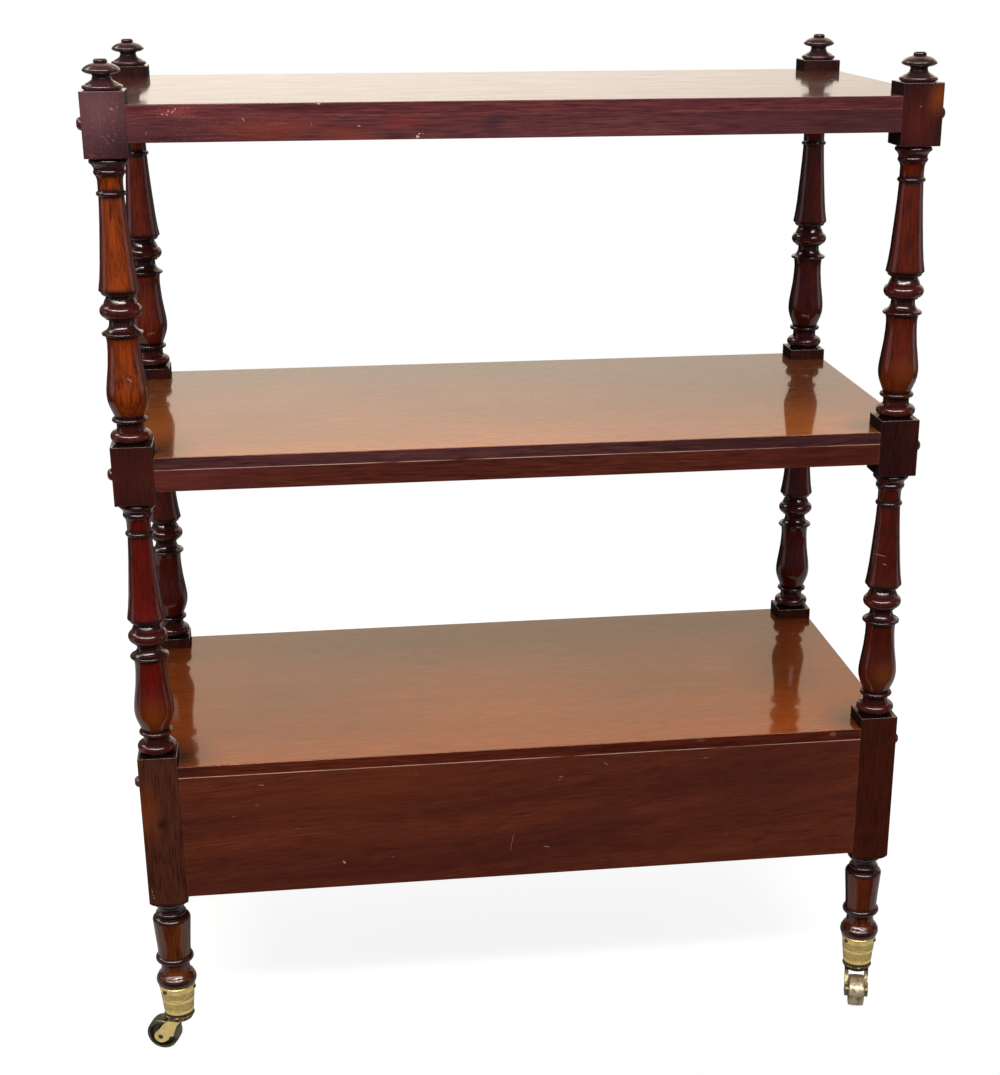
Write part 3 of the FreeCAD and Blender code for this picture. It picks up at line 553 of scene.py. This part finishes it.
# Colours of the edges and of the faded top, size of the flecks in mm (coarser on a board seen
# flatter), how patchy the film is, and the tint of the painted shade at the back.
BOARDS = {
    "bottom": (RED_BROWN, ("#823a0c", "#9e4810", "#a85016", "#b66024"), 4.0, 0.28, "#c4c4f0"),
    "middle": (PURPLE_BROWN, ("#a04e16", "#b8601c", "#c06822", "#cc7834"), 4.5, 0.26, "#a4a4f0"),
    "top": (TOP_RAIL, ("#4c2418", "#603022", "#6e3a2a", "#824c38"), 11.0, 0.20, "#e8e8f0"),
}
SHELF_MARKS = {
    "bottom": on_face(EDGE, [
        (0.2, 0.366, 0, 7, 2.2, "#5f3a2c", 0.9, CRISP),
        (0.356, 0.3645, 0, 5, 3.4, "#7a4a34", 0.9, CRISP),
    ]) + on_top(shelf_top["bottom"], [
        (-0.0875, 0.0696, 0, 22, 9, "#2c1a12", 0.45, CRISP),
        (-0.0875, 0.0696, 0, 7, 3, "#20120c", 0.6, CRISP),
        (0.0135, -0.093, -58, 11, 0.7, "#2a1710", 0.9, CRISP),
        (0.03, -0.085, 20, 6, 0.6, "#2a1710", 0.6, CRISP),
        (-0.07, 0.115, -80, 9, 0.6, "#4a2c1c", 0.6, CRISP),
        # painted shadow and reflection of the front-right post
        (0.385, -0.18, 0, 44, 52, "#141410", 0.85, SOFT),
        # painted reflection of the back-right post, darker
        (0.345, 0.02, -10, 60, 190, "#341404", 0.5, SOFT),
        # painted shadow and reflection of the front-left post
        (-0.385, -0.18, 0, 50, 58, "#141410", 0.85, SOFT),
    ]),
    "middle": on_top(shelf_top["middle"], [
        # painted shadow and reflection of the front posts
        (0.385, -0.18, 0, 40, 46, "#141410", 0.85, SOFT),
        (-0.385, -0.18, 0, 46, 58, "#141410", 0.85, SOFT),
    ]),
    "top": on_face(EDGE, [
        (-0.3515, 1.0618, -20, 11, 2.4, "#f0d2c8", 0.9, SPECKLED),
        (-0.34, 1.06, 10, 24, 12, "#c07c78", 0.25, SPECKLED),
        (-0.3365, 1.0672, -6, 10, 2.8, "#d88880", 0.85, SPECKLED),
        (-0.34, 1.064, 0, 22, 9, "#a04848", 0.35, SOFT),
        (-0.2027, 1.07, 0, 1.8, 0.8, "#e8d0c0", 0.8, CRISP),
        (-0.23, 1.067, 0, 90, 7, "#281418", 0.5, SOFT),
    ]),
}


def shelf_mahogany(tier, seed):
    """A board: red-brown edges, and a faded top with painted shade at the back, under a patchy
    film.
    """
    material, tree = new_material("french_polished_mahogany_shelf_" + tier)
    edges, tops, fleck_size, patchy, shade = BOARDS[tier]
    space, red, pores, fibres = wood_pattern(tree, "x", seed, edges, 0.010, 0.3)
    faded = wood_pattern(tree, "x", seed, tops, 0.010, 0.12, contrast=0.7, banding=0.45,
                         spread=FADED_SPREAD)[1]
    shortened = add(tree, "VectorMath", {0: space, 1: (1 / 5, 1, 1)}, operation="MULTIPLY")
    flecks = add(tree, "TexNoise", {
        "Vector": shortened, "Scale": 1 / (fleck_size * MM), "Detail": 3.0, "Roughness": 0.7})
    dark_flecks = add(tree, "MapRange", {"Value": flecks, "From": (0.48, 0.66), "To": (0, 0.5)})
    faded = add(tree, "Mix", {
        "Factor": dark_flecks, "A": faded, "B": FLECK_BROWN}, data_type="RGBA")
    place = add(tree, "SeparateXYZ", {0: space})
    # painted shade: the top darkens towards the back, along a line that drifts with noise
    drift = add(tree, "TexNoise", {"Vector": space, "Scale": 1 / (280 * MM), "Detail": 1.0})
    depth = add(tree, "Math", {0: drift, 1: 0.45, 2: place.outputs["Y"]}, operation="MULTIPLY_ADD")
    painted_back_shade = add(tree, "MapRange", {"Value": depth, "From": (-0.02, 0.33)})
    faded = add(tree, "Mix", {
        "Factor": painted_back_shade, "A": faded, "B": shade}, data_type="RGBA", blend_type="MULTIPLY")
    height = place.outputs["Z"]
    top = shelf_top[tier]
    on_top = add(tree, "MapRange", {"Value": height, "From": (top - 0.5 * MM, top - 0.1 * MM)})
    colour = add(tree, "Mix", {"Factor": on_top, "A": red, "B": faded}, data_type="RGBA")
    colour = marked(tree, space, colour, SHELF_MARKS[tier])
    colour, worn = aged(tree, space, colour, WORN_TOP, dirt=0.7, wear=0.6)
    mixed = add(tree, "Mix", {"Factor": 0.6, "A": fibres, "B": flecks}, data_type="FLOAT")
    polished(tree, space, colour, pores, mixed, worn, gloss=0.05, under=0.02,
             uneven=patchy)
    return material


for seed, tier in enumerate(TIERS):
    dress("shelf_" + tier, shelf_mahogany(tier, 51.0 + 2.3 * seed))
print("dressed the boards")

# %% [markdown]
# ## Plain mahogany inside
#
# The glue blocks under the boards were sawn, glued in and left bare: paler and dry, without
# a film.

# %% Bare sawn mahogany
bare, tree = new_material("sawn_mahogany_bare")
space, colour, pores, fibres = wood_pattern(
    tree, "x", 71.0, ("#4a2c1c", "#6d452d", "#81563a", "#997050"), spread=(0.0, 0.4, 0.65, 1.0))
saw = add(tree, "TexWave", {
    "Vector": space, "Scale": 1 / (14 * MM), "Distortion": 1.5}, bands_direction="X")
height = add(tree, "Math", {0: saw, 1: 0.4, 2: fibres}, operation="MULTIPLY_ADD")
bump = add(tree, "Bump", {"Height": height, "Strength": 0.6, "Distance": 0.2 * MM})
dry = add(tree, "MapRange", {"Value": fibres, "To": (0.65, 0.85)})
shader = add(tree, "BsdfPrincipled", {"Base Color": colour, "Roughness": dry, "Normal": bump})
add(tree, "OutputMaterial", {"Surface": shader})
dress("glue_blocks", bare)
print("dressed the glue blocks")

# %% [markdown]
# ## Brass and steel
#
# Cup and horn are cast brass, turned or filed, then polished by hand. Polish reaches the
# high places; in the knurling and corners a brown-olive tarnish stays. Brass is a metal:
# its colour is the colour of its reflection, and it keeps the default IOR.

# %% Metals
RING_FADE = 0.3    # mm


def metal(name, bright, dull, rough_low, rough_high, patch, tarnish, reach, seed=0.0, rings=(),
          body=1.0):
    """A worn metal: bright where rubbed, dull in patches, in hollows and in rings.

    patch, reach: sizes of patches and hollows, mm. tarnish: how strong the patches are.
    rings: (low, high, strength), mm. body: how metallic the clean metal is.
    """
    material, tree = new_material(name)
    space = add(tree, "TexCoord").outputs["Object"]
    height = add(tree, "SeparateXYZ", {0: space}).outputs["Z"]
    space = add(tree, "VectorMath", {0: space, 1: (seed, seed, seed)}, operation="ADD")
    cloud = add(tree, "TexNoise", {
        "Vector": space, "Scale": 1 / (patch * MM), "Detail": 5.0, "Roughness": 0.6})
    dulled = add(tree, "MapRange", {"Value": cloud, "From": (0.45, 0.72), "To": (0, tarnish)})
    sky = add(tree, "AmbientOcclusion", {"Distance": reach * MM}, samples=6, only_local=True)
    hollow = add(tree, "MapRange", {
        "Value": sky.outputs["AO"], "From": (0.92, 0.45), "To": (0, 0.95)})
    dirty = add(tree, "Math", {0: dulled, 1: hollow}, operation="MAXIMUM")
    if rings:
        broken = patches(tree, space, 2.4, 0.40, 0.60, least=0.60)
    for low, high, strength in rings:
        ring = between(tree, height, (low - RING_FADE) * MM, (high + RING_FADE) * MM,
                       2 * RING_FADE * MM, most=strength)
        ring = add(tree, "Math", {0: ring, 1: broken}, operation="MULTIPLY")
        dirty = add(tree, "Math", {0: dirty, 1: ring}, operation="MAXIMUM")
    colour = add(tree, "Mix", {"Factor": dirty, "A": bright, "B": dull}, data_type="RGBA")
    speck = add(tree, "TexNoise", {"Vector": space, "Scale": 1 / (0.8 * MM), "Detail": 2.0})
    rough = add(tree, "MapRange", {
        "Value": cloud, "From": (0.3, 0.7), "To": (rough_low, rough_high)})
    rough = add(tree, "Math", {0: dirty, 1: 0.25, 2: rough}, operation="MULTIPLY_ADD")
    height = add(tree, "Math", {0: speck, 1: 0.5, 2: cloud}, operation="MULTIPLY_ADD")
    bump = add(tree, "Bump", {"Height": height, "Strength": 0.35, "Distance": 0.15 * MM})
    solid = add(tree, "Math", {0: dirty, 1: -0.35, 2: body}, operation="MULTIPLY_ADD")
    shader = add(tree, "BsdfPrincipled", {
        "Base Color": colour, "Metallic": solid, "Roughness": rough, "Normal": bump})
    add(tree, "OutputMaterial", {"Surface": shader})
    return material


CUP_RINGS = (    # the foot ring and the band above it, darkened, then each knurled band between two lines
    (45.0, 47.9, 1.20), (47.9, 51.6, 1.60),
    (56.1, 57.3, 0.80), (57.3, 65.2, 0.46), (65.2, 66.2, 0.80),
    (70.5, 71.7, 0.80), (71.7, 78.2, 0.46), (78.2, 79.2, 0.80),
)
PLATE_RING = ((41.0, 45.5, 1.20),)
brass = metal("cast_brass_hand_polished", "#f8dc92", "#3c3216", 0.20, 0.34, 7, 0.35, 1.2,
              rings=PLATE_RING, body=0.72)
cup_brass = metal("cast_brass_knurled", "#fadc8c", "#322810", 0.20, 0.34, 7, 0.30, 1.2,
                  rings=CUP_RINGS, body=0.72)
dull_brass = metal("cast_brass_tarnished_horn", "#84795a", "#1e1a10", 0.26, 0.44, 6, 0.9, 3.0,
                   seed=0.6, rings=PLATE_RING)
wheel_brass = {
    "left": metal("cast_brass_tarnished", "#6c6856", "#100d08", 0.30, 0.45, 9, 0.8, 9.0, seed=0.3),
    "right": metal("cast_brass_scuffed", "#b8a88c", "#3a3024", 0.40, 0.55, 6, 0.9, 6.0, seed=0.5,
                   body=0.8),
}
steel = metal("wrought_steel_old", "#8a8680", "#3c2c22", 0.35, 0.55, 5, 0.8, 1.5, seed=0.7)
screw_steel = metal("iron_screw_browned", "#5a5048", "#1c1410", 0.35, 0.55, 3, 0.8, 0.8, seed=0.9)
for node in ("rail_bolts", "bolt_nuts", "shelf_screws"):
    dress(node, steel)
for corner in CORNERS:
    dress("castor_pin_" + corner, steel)
    dress("castor_axle_" + corner, screw_steel)
    dress("castor_wheel_" + corner, wheel_brass[corner.split("_")[1]])
print("dressed the wheels and the steel fixings")

# %% [markdown]
# ## Turning a shape
#
# A lathe piece is one outline carried round an axis. `turned` takes the outline as radius
# and height, and may ask a function for a small change of radius at each place.

# %% A lathe in mesh code
def turned(mesh, outline, steps, relief=None):
    """Adds a closed ring of outline points, in mm, turned round Z in so many steps."""
    rings = []
    for radius, height in outline:
        ring = []
        for step in range(steps):
            angle = 2 * math.pi * step / steps
            r = radius + (relief(angle, height) if relief else 0.0)
            at = (r * math.cos(angle) * MM, r * math.sin(angle) * MM, height * MM)
            ring.append(mesh.verts.new(at))
        rings.append(ring)
    for low, high in zip(rings, rings[1:] + rings[:1]):
        for step in range(steps):
            after = (step + 1) % steps
            mesh.faces.new((low[step], low[after], high[after], high[step]))


def arc_through(start, middle, end, steps):
    """Points of the circular arc from start to end, without start."""
    a, b, c = (complex(*point) for point in (start, middle, end))
    w = (c - a) / (b - a)
    centre = (b - a) * (w - abs(w) ** 2) / (2j * w.imag) + a
    radius = abs(a - centre)
    first, second, last = (cmath.phase(point - centre) for point in (a, b, c))
    way = 1 if (second - first) % (2 * math.pi) < (last - first) % (2 * math.pi) else -1
    sweep = (way * (last - first)) % (2 * math.pi) * way
    points = [centre + cmath.rect(radius, first + sweep * i / steps) for i in range(1, steps + 1)]
    return [(point.real, point.imag) for point in points]


def new_object(name, data):
    """An object of a mesh, lamp or camera, put in the scene."""
    made = bpy.data.objects.new(name, data)
    bpy.context.scene.collection.objects.link(made)
    return made


def finished(name, mesh, material, smooth=32):
    """Makes an object of a bmesh, smooth except at edges sharper than so many degrees."""
    bmesh.ops.recalc_face_normals(mesh, faces=mesh.faces)
    for face in mesh.faces:
        face.smooth = True
    for edge in mesh.edges:
        if len(edge.link_faces) == 2 and edge.calc_face_angle() > math.radians(smooth):
            edge.smooth = False
    data = bpy.data.meshes.new(name)
    mesh.to_mesh(data)
    mesh.free()
    data.materials.append(material)
    return new_object(name, data)

# %% [markdown]
# ## The brass cups
#
# A castor's cup is a tapered brass socket that the foot is turned to fit. Two bands round
# it were knurled on the lathe: a wheel with slanting teeth was pressed into the metal. The
# teeth are 1.5 mm apart, so they are modelled, as ridges on sunk bands.

# %% Outline of a cup
CUP_BOTTOM, CUP_FLOOR, LIP, CUP_TOP = 45.7, 51.2, 84.9, 87.5
R_BOTTOM, R_TOP, PIN_HOLE = 16.5, 20.6, 4.6
BANDS = ((56.9, 65.7), (71.3, 78.7))
BAND_SUNK, BAND_STEPS = 0.35, 14
TEETH, TOOTH_HIGH, SLANT = 76, 0.30, 3.6


def cup_side(height):
    """Radius of the tapered wall."""
    return R_BOTTOM + (R_TOP - R_BOTTOM) * (height - CUP_BOTTOM) / (CUP_TOP - CUP_BOTTOM)


def knurl(angle, height):
    """Slanting ridges in the two bands, rising from half a millimetre inside their ends."""
    for low, high in BANDS:
        inset = min(1.0, 2 * (height - low) - 1, 2 * (high - height) - 1)
        if inset > 0:
            return inset * TOOTH_HIGH * (0.5 + 0.5 * math.cos(TEETH * angle + SLANT * height))
    return 0.0


outline = [(PIN_HOLE, CUP_BOTTOM), (17.0, CUP_BOTTOM)]
outline += arc_through((17.0, CUP_BOTTOM), (17.6, 46.5), (17.0, 47.3), 6)
outline += [(16.6, 47.7), (cup_side(48.4), 48.4)]
for low, high in BANDS:
    outline += [(cup_side(low), low), (cup_side(low) - BAND_SUNK, low + 0.3)]
    for i in range(BAND_STEPS + 1):
        at = low + 0.45 + (high - low - 0.9) * i / BAND_STEPS
        outline.append((cup_side(at) - BAND_SUNK, at))
    outline += [(cup_side(high) - BAND_SUNK, high - 0.3), (cup_side(high), high)]
outline += [(cup_side(LIP), LIP)]
outline += arc_through((cup_side(LIP), LIP), (21.1, 86.3), (20.4, 87.4), 6)
outline += [(20.0, CUP_TOP), (18.1, CUP_TOP), (14.5, 54.8), (14.2, CUP_FLOOR)]
outline += [(PIN_HOLE, CUP_FLOOR)]
print("cup outline has", len(outline), "points")

# %% Make the four cups
for corner in CORNERS:
    mesh = bmesh.new()
    turned(mesh, outline, TEETH * 5, knurl)
    cup = finished("cup_" + corner, mesh, cup_brass, smooth=40)
    cup.location = post_axis[corner]
    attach(cup, "frame")
    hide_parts("castor_cup_" + corner)
print("made four cups")

# %% [markdown]
# ## The horns
#
# Below the cup a round plate swivels on the pin, and two legs cast in one piece with it
# trail to one side and hold the axle. A casting has no sharp edges and the polisher's
# cloth rounds them further, so the legs get a bevel.

# %% Shape of a horn, trailing towards +X
LEG_INNER, LEG_THICK, LEG_ROUND = 9.7, 4.4, 0.55
leg = [(-4.6, 42.4), (-4.6, 40.0)]
leg += arc_through(leg[-1], (0.6, 33.2), (3.2, 25.4), 10)
leg += [(4.6, 20.4)]
for middle, end, steps in (
        ((7.4, 21.4), (9.4, 19.2), 6), ((11.2, 15.6), (14.4, 13.57), 6),
        ((27.8, 19.0), (22.0, 26.54), 22), ((17.6, 33.6), (10.0, 40.0), 10)):
    leg += arc_through(leg[-1], middle, end, steps)
leg += [(10.0, 42.4)]


def add_leg(mesh, side):
    """One leg: the outline cut from a plate, its outer and inner edges rounded."""
    near, far = side * LEG_INNER, side * (LEG_INNER + LEG_THICK)
    rims = [[mesh.verts.new((u * MM, v * MM, z * MM)) for u, z in leg] for v in (near, far)]
    faces = [mesh.faces.new(rims[0]), mesh.faces.new(reversed(rims[1]))]
    for i in range(len(leg)):
        after = (i + 1) % len(leg)
        mesh.faces.new((rims[0][after], rims[0][i], rims[1][i], rims[1][after]))
    edges = [edge for face in faces for edge in face.edges]
    bmesh.ops.bevel(mesh, geom=edges, offset=LEG_ROUND * MM, segments=3, profile=0.6,
                    affect="EDGES")

# %% Make the four horns
def trail_angle(corner):
    """Direction in which a wheel trails, from where its axle lies."""
    low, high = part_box("castor_wheel_" + corner)
    away = (low + high) / 2 - post_axis[corner]
    return math.atan2(away.y, away.x)


plate = [(4.58, 41.2), (14.6, 41.2)] + arc_through((14.6, 41.2), (15.6, 42.8), (14.6, 44.4), 8)
plate += [(11.0, 44.4), (11.0, 45.4), (4.58, 45.4)]
for corner in CORNERS:
    mesh = bmesh.new()
    turned(mesh, plate, 96)
    for side in (-1, 1):
        add_leg(mesh, side)
    horn = finished("horn_" + corner, mesh, brass if corner == "front_left" else dull_brass)
    turn = Matrix.Rotation(trail_angle(corner), 4, "Z")
    horn.matrix_world = Matrix.Translation(post_axis[corner]) @ turn
    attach(horn, "horn_" + corner)
    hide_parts("castor_horn_" + corner)
    print("horn", corner, "trails at", round(math.degrees(trail_angle(corner))), "degrees")

# %% [markdown]
# ## The cup screws
#
# Three round-headed iron screws hold each cup to its foot. The slot is what makes a dark
# dot read as a screw, so the head is built in rows, and the two rows in its middle are
# lowered.

# %% One slotted screw, pointing along +X
HEAD_R, HEAD_H, SLOT, SLOT_DEEP = 2.8, 2.1, 0.40, 0.9
SEAT, SHANK_R, SHANK_LONG, SIDES = 19.8, 1.2, 9.0, 12    # seat: where the head sits on the cup
ROWS = [-1.0, -0.93, -0.8, -0.6, -0.35, -SLOT / HEAD_R, SLOT / HEAD_R, 0.35, 0.6, 0.8, 0.93, 1.0]


def screw(mesh, place):
    """Adds a screw head on its seat, with a plain shank, under a placing matrix."""
    rows = []
    for share in ROWS:
        across = share * HEAD_R * 0.999
        chord = math.sqrt(HEAD_R ** 2 - across ** 2)
        row = []
        for i in range(SIDES + 1):
            u = -math.cos(math.pi * i / SIDES) * chord
            swell = math.sqrt(max(0.0, 1 - (u * u + across * across) / HEAD_R ** 2))
            row.append((SEAT + HEAD_H * swell ** 0.8, u, across))
        rows.append(row)
    middle = len(ROWS) // 2
    sunk = [[(x - SLOT_DEEP, u, v) for x, u, v in row] for row in rows[middle - 1:middle + 1]]
    rows = rows[:middle] + sunk + rows[middle:]
    made = [[mesh.verts.new(place @ (Vector(point) * MM)) for point in row] for row in rows]
    for first, second in zip(made, made[1:]):
        for i in range(len(first) - 1):
            mesh.faces.new((first[i], first[i + 1], second[i + 1], second[i]))
    shank = []
    for x in (SEAT - SHANK_LONG, SEAT + 0.6):
        angles = [2 * math.pi * k / SIDES for k in range(SIDES)]
        points = [Vector((x, SHANK_R * math.cos(a), SHANK_R * math.sin(a))) for a in angles]
        shank.append([mesh.verts.new(place @ (point * MM)) for point in points])
    for k in range(SIDES):
        after = (k + 1) % SIDES
        mesh.faces.new((shank[0][k], shank[0][after], shank[1][after], shank[1][k]))
    mesh.faces.new(shank[0])
    mesh.faces.new(reversed(shank[1]))

# %% Make the twelve screws
SCREW_TURN = {"front_left": -132, "front_right": -35, "back_left": 20, "back_right": 65}
SCREW_HEIGHT = 82.6 * MM
mesh = bmesh.new()
for number, corner in enumerate(CORNERS):
    for third in range(3):
        turn = Matrix.Rotation(math.radians(SCREW_TURN[corner] + 120 * third), 4, "Z")
        slot_turn = Matrix.Rotation(0.9 * number + 1.9 * third, 4, "X")
        at = Matrix.Translation(post_axis[corner] + Vector((0, 0, SCREW_HEIGHT)))
        screw(mesh, at @ turn @ slot_turn)
screws = finished("cup_screws_slotted", mesh, screw_steel, smooth=50)
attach(screws, "frame")
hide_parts("cup_screws")
print("made twelve screws with", len(screws.data.polygons), "faces")

# %% [markdown]
# ## Floor
#
# A pale floor carries the soft shadow. To the camera it also glows, so that it comes out
# white wherever the shadow doesn't reach, and a little in mirrors, so that the brass near it
# has a light floor to show.

# %% Floor
LEFT, RIGHT, NEAR, FAR = -2.2, 2.2, -0.33, 1.4
floor_corners = [(LEFT, NEAR, 0), (RIGHT, NEAR, 0), (RIGHT, FAR, 0), (LEFT, FAR, 0)]
floor_mesh = bpy.data.meshes.new("floor")
floor_mesh.from_pydata(floor_corners, [], [(0, 1, 2, 3)])
floor = new_object("floor", floor_mesh)
pale, tree = new_material("pale_matt_floor")
IN_MIRRORS, TO_CAMERA = 0.19, 0.84    # how much it glows
paint = add(tree, "BsdfDiffuse", {"Color": "#b3b3b1"})
path = add(tree, "LightPath")
mirrored = add(tree, "Math", {
    0: path.outputs["Is Glossy Ray"], 1: IN_MIRRORS}, operation="MULTIPLY")
glow = add(tree, "Math", {
    0: path.outputs["Is Camera Ray"], 1: TO_CAMERA, 2: mirrored}, operation="MULTIPLY_ADD")
lit = add(tree, "Emission", {"Color": "#ffffff", "Strength": glow})
both = add(tree, "AddShader", {0: paint, 1: lit})
add(tree, "OutputMaterial", {"Surface": both})
floor_mesh.materials.append(pale)
print("laid the floor")

# %% [markdown]
# ## The room
#
# Polished wood shows the room it stands in, here a studio: a white wall behind the piece, a
# dark side in front of it with a band of light high up, and a bright slit left and right.
# Only glossy rays see that. The light that fills the shadows is the same from all sides,
# and the camera sees plain white.

# %% World
BAND_LIGHT, WALL_LIGHT, SLIT_LIGHT, ROOM_LIGHT = 4.6, 1.14, 0.45, 1.45
world = bpy.data.worlds.new("white_studio")
bpy.context.scene.world = world
world.use_nodes = True
tree = world.node_tree
tree.nodes.clear()
way = add(tree, "SeparateXYZ", {0: add(tree, "TexCoord").outputs["Generated"]})
across, forth, up = way.outputs["X"], way.outputs["Y"], way.outputs["Z"]
rise = add(tree, "MapRange", {"Value": up, "From": (-0.5, 0.5)})
front = add(tree, "ValToRGB", {"Fac": rise}, stops=[
    (0.0, "#181413"), (0.26, "#2a2422"), (0.42, "#4e464c"), (0.55, "#544c54"), (1.0, "#4c464c")])
band = add(tree, "ValToRGB", {"Fac": up}, stops=[
    (0.50, "#000000"), (0.57, "#ffffff"), (0.69, "#ffffff"), (0.78, "#000000")])
width = add(tree, "MapRange", {"Value": across, "From": (0.60, 0.40), "To": (0, BAND_LIGHT)})
left_end = add(tree, "MapRange", {"Value": across, "From": (-0.85, -0.65)})
width = add(tree, "Math", {0: width, 1: left_end}, operation="MULTIPLY")
band = add(tree, "VectorMath", {0: band, "Scale": width}, operation="SCALE")
front = add(tree, "VectorMath", {0: front, 1: band}, operation="ADD")
back = add(tree, "ValToRGB", {"Fac": rise}, stops=[
    (0.0, "#5e5a58"), (0.48, "#6a6664"), (0.53, "#eaded0"), (0.60, "#eaded0"),
    (0.75, "#eddcc5"), (0.88, "#ffe2be"), (1.0, "#c8b8ac")])
evenness = add(tree, "MapRange", {"Value": across, "From": (-1.0, 1.0)})
evenness = add(tree, "ValToRGB", {"Fac": evenness}, stops=[
    (0.37, "#6a6c68"), (0.43, "#ffffff"), (0.50, "#ffffff"), (0.57, "#f7f7f7"), (0.66, "#e4e4e4")])
back = add(tree, "Mix", {
    "Factor": 1.0, "A": back, "B": evenness}, data_type="RGBA", blend_type="MULTIPLY")
back = add(tree, "VectorMath", {0: back, "Scale": WALL_LIGHT}, operation="SCALE")
behind = add(tree, "MapRange", {"Value": forth, "From": (0.40, 0.62)})
room = add(tree, "Mix", {"Factor": behind, "A": front, "B": back}, data_type="RGBA")
sideways = add(tree, "Math", {0: across}, operation="ABSOLUTE")
slit = add(tree, "MapRange", {"Value": sideways, "From": (0.965, 0.985), "To": (0, SLIT_LIGHT)})
room = add(tree, "VectorMath", {0: room, 1: slit}, operation="ADD")
room = add(tree, "VectorMath", {0: room, "Scale": ROOM_LIGHT}, operation="SCALE")
path = add(tree, "LightPath")
colour = add(tree, "Mix", {
    "Factor": path.outputs["Is Glossy Ray"], "A": "#aaaaac", "B": room}, data_type="RGBA")
white = add(tree, "Mix", {
    "Factor": path.outputs["Is Camera Ray"], "A": colour, "B": "#ffffff"}, data_type="RGBA")
backdrop = add(tree, "Background", {"Color": white})
add(tree, "OutputWorld", {"Surface": backdrop})
print("set up the room")

# %% [markdown]
# Two long, low lamps hang left and right of the camera. On the beads of the turnings each
# makes a short white arc, and together they light the whole front.

# %% Lamps
MIDDLE = Vector((0.0, 0.0, 0.6))
LAMP_LONG, LAMP_HIGH, LAMP_AWAY, LAMP_WATTS = 1.9, 0.26, 2.8, 31.0
UP = math.radians(42)
for name, azimuth in (("left_lamp", -30), ("right_lamp", 12)):
    lamp = bpy.data.lights.new(name, "AREA")
    lamp.shape = "RECTANGLE"
    lamp.size, lamp.size_y = LAMP_LONG, LAMP_HIGH
    lamp.energy = LAMP_WATTS
    lamp.color = linear("#fff8f0")[:3]
    side = math.radians(azimuth)
    towards = Vector((math.sin(side) * math.cos(UP), -math.cos(side) * math.cos(UP), math.sin(UP)))
    holder = new_object(name, lamp)
    holder.location = MIDDLE + LAMP_AWAY * towards
    holder.rotation_euler = towards.to_track_quat("Z", "Y").to_euler()
print("hung two lamps")

# %% [markdown]
# ## Camera
#
# A standing person's view, a little from the left and looking down, so that all three
# shelf tops show. The shift only places the piece in the frame.

# %% Camera
EYE = (-0.2456, -2.1128, 1.2214)
LOOK_DOWN, TURN_RIGHT = 21.436, 7.995    # degrees
lens = bpy.data.cameras.new("camera")
lens.sensor_width = 36.0
lens.lens = 62.218
lens.shift_x, lens.shift_y = -0.0433, 0.12
camera = new_object("camera", lens)
camera.location = EYE
camera.rotation_euler = (math.radians(90 - LOOK_DOWN), 0.0, math.radians(-TURN_RIGHT))
bpy.context.scene.camera = camera
bpy.context.scene.view_settings.view_transform = "Standard"
print("camera at", EYE)
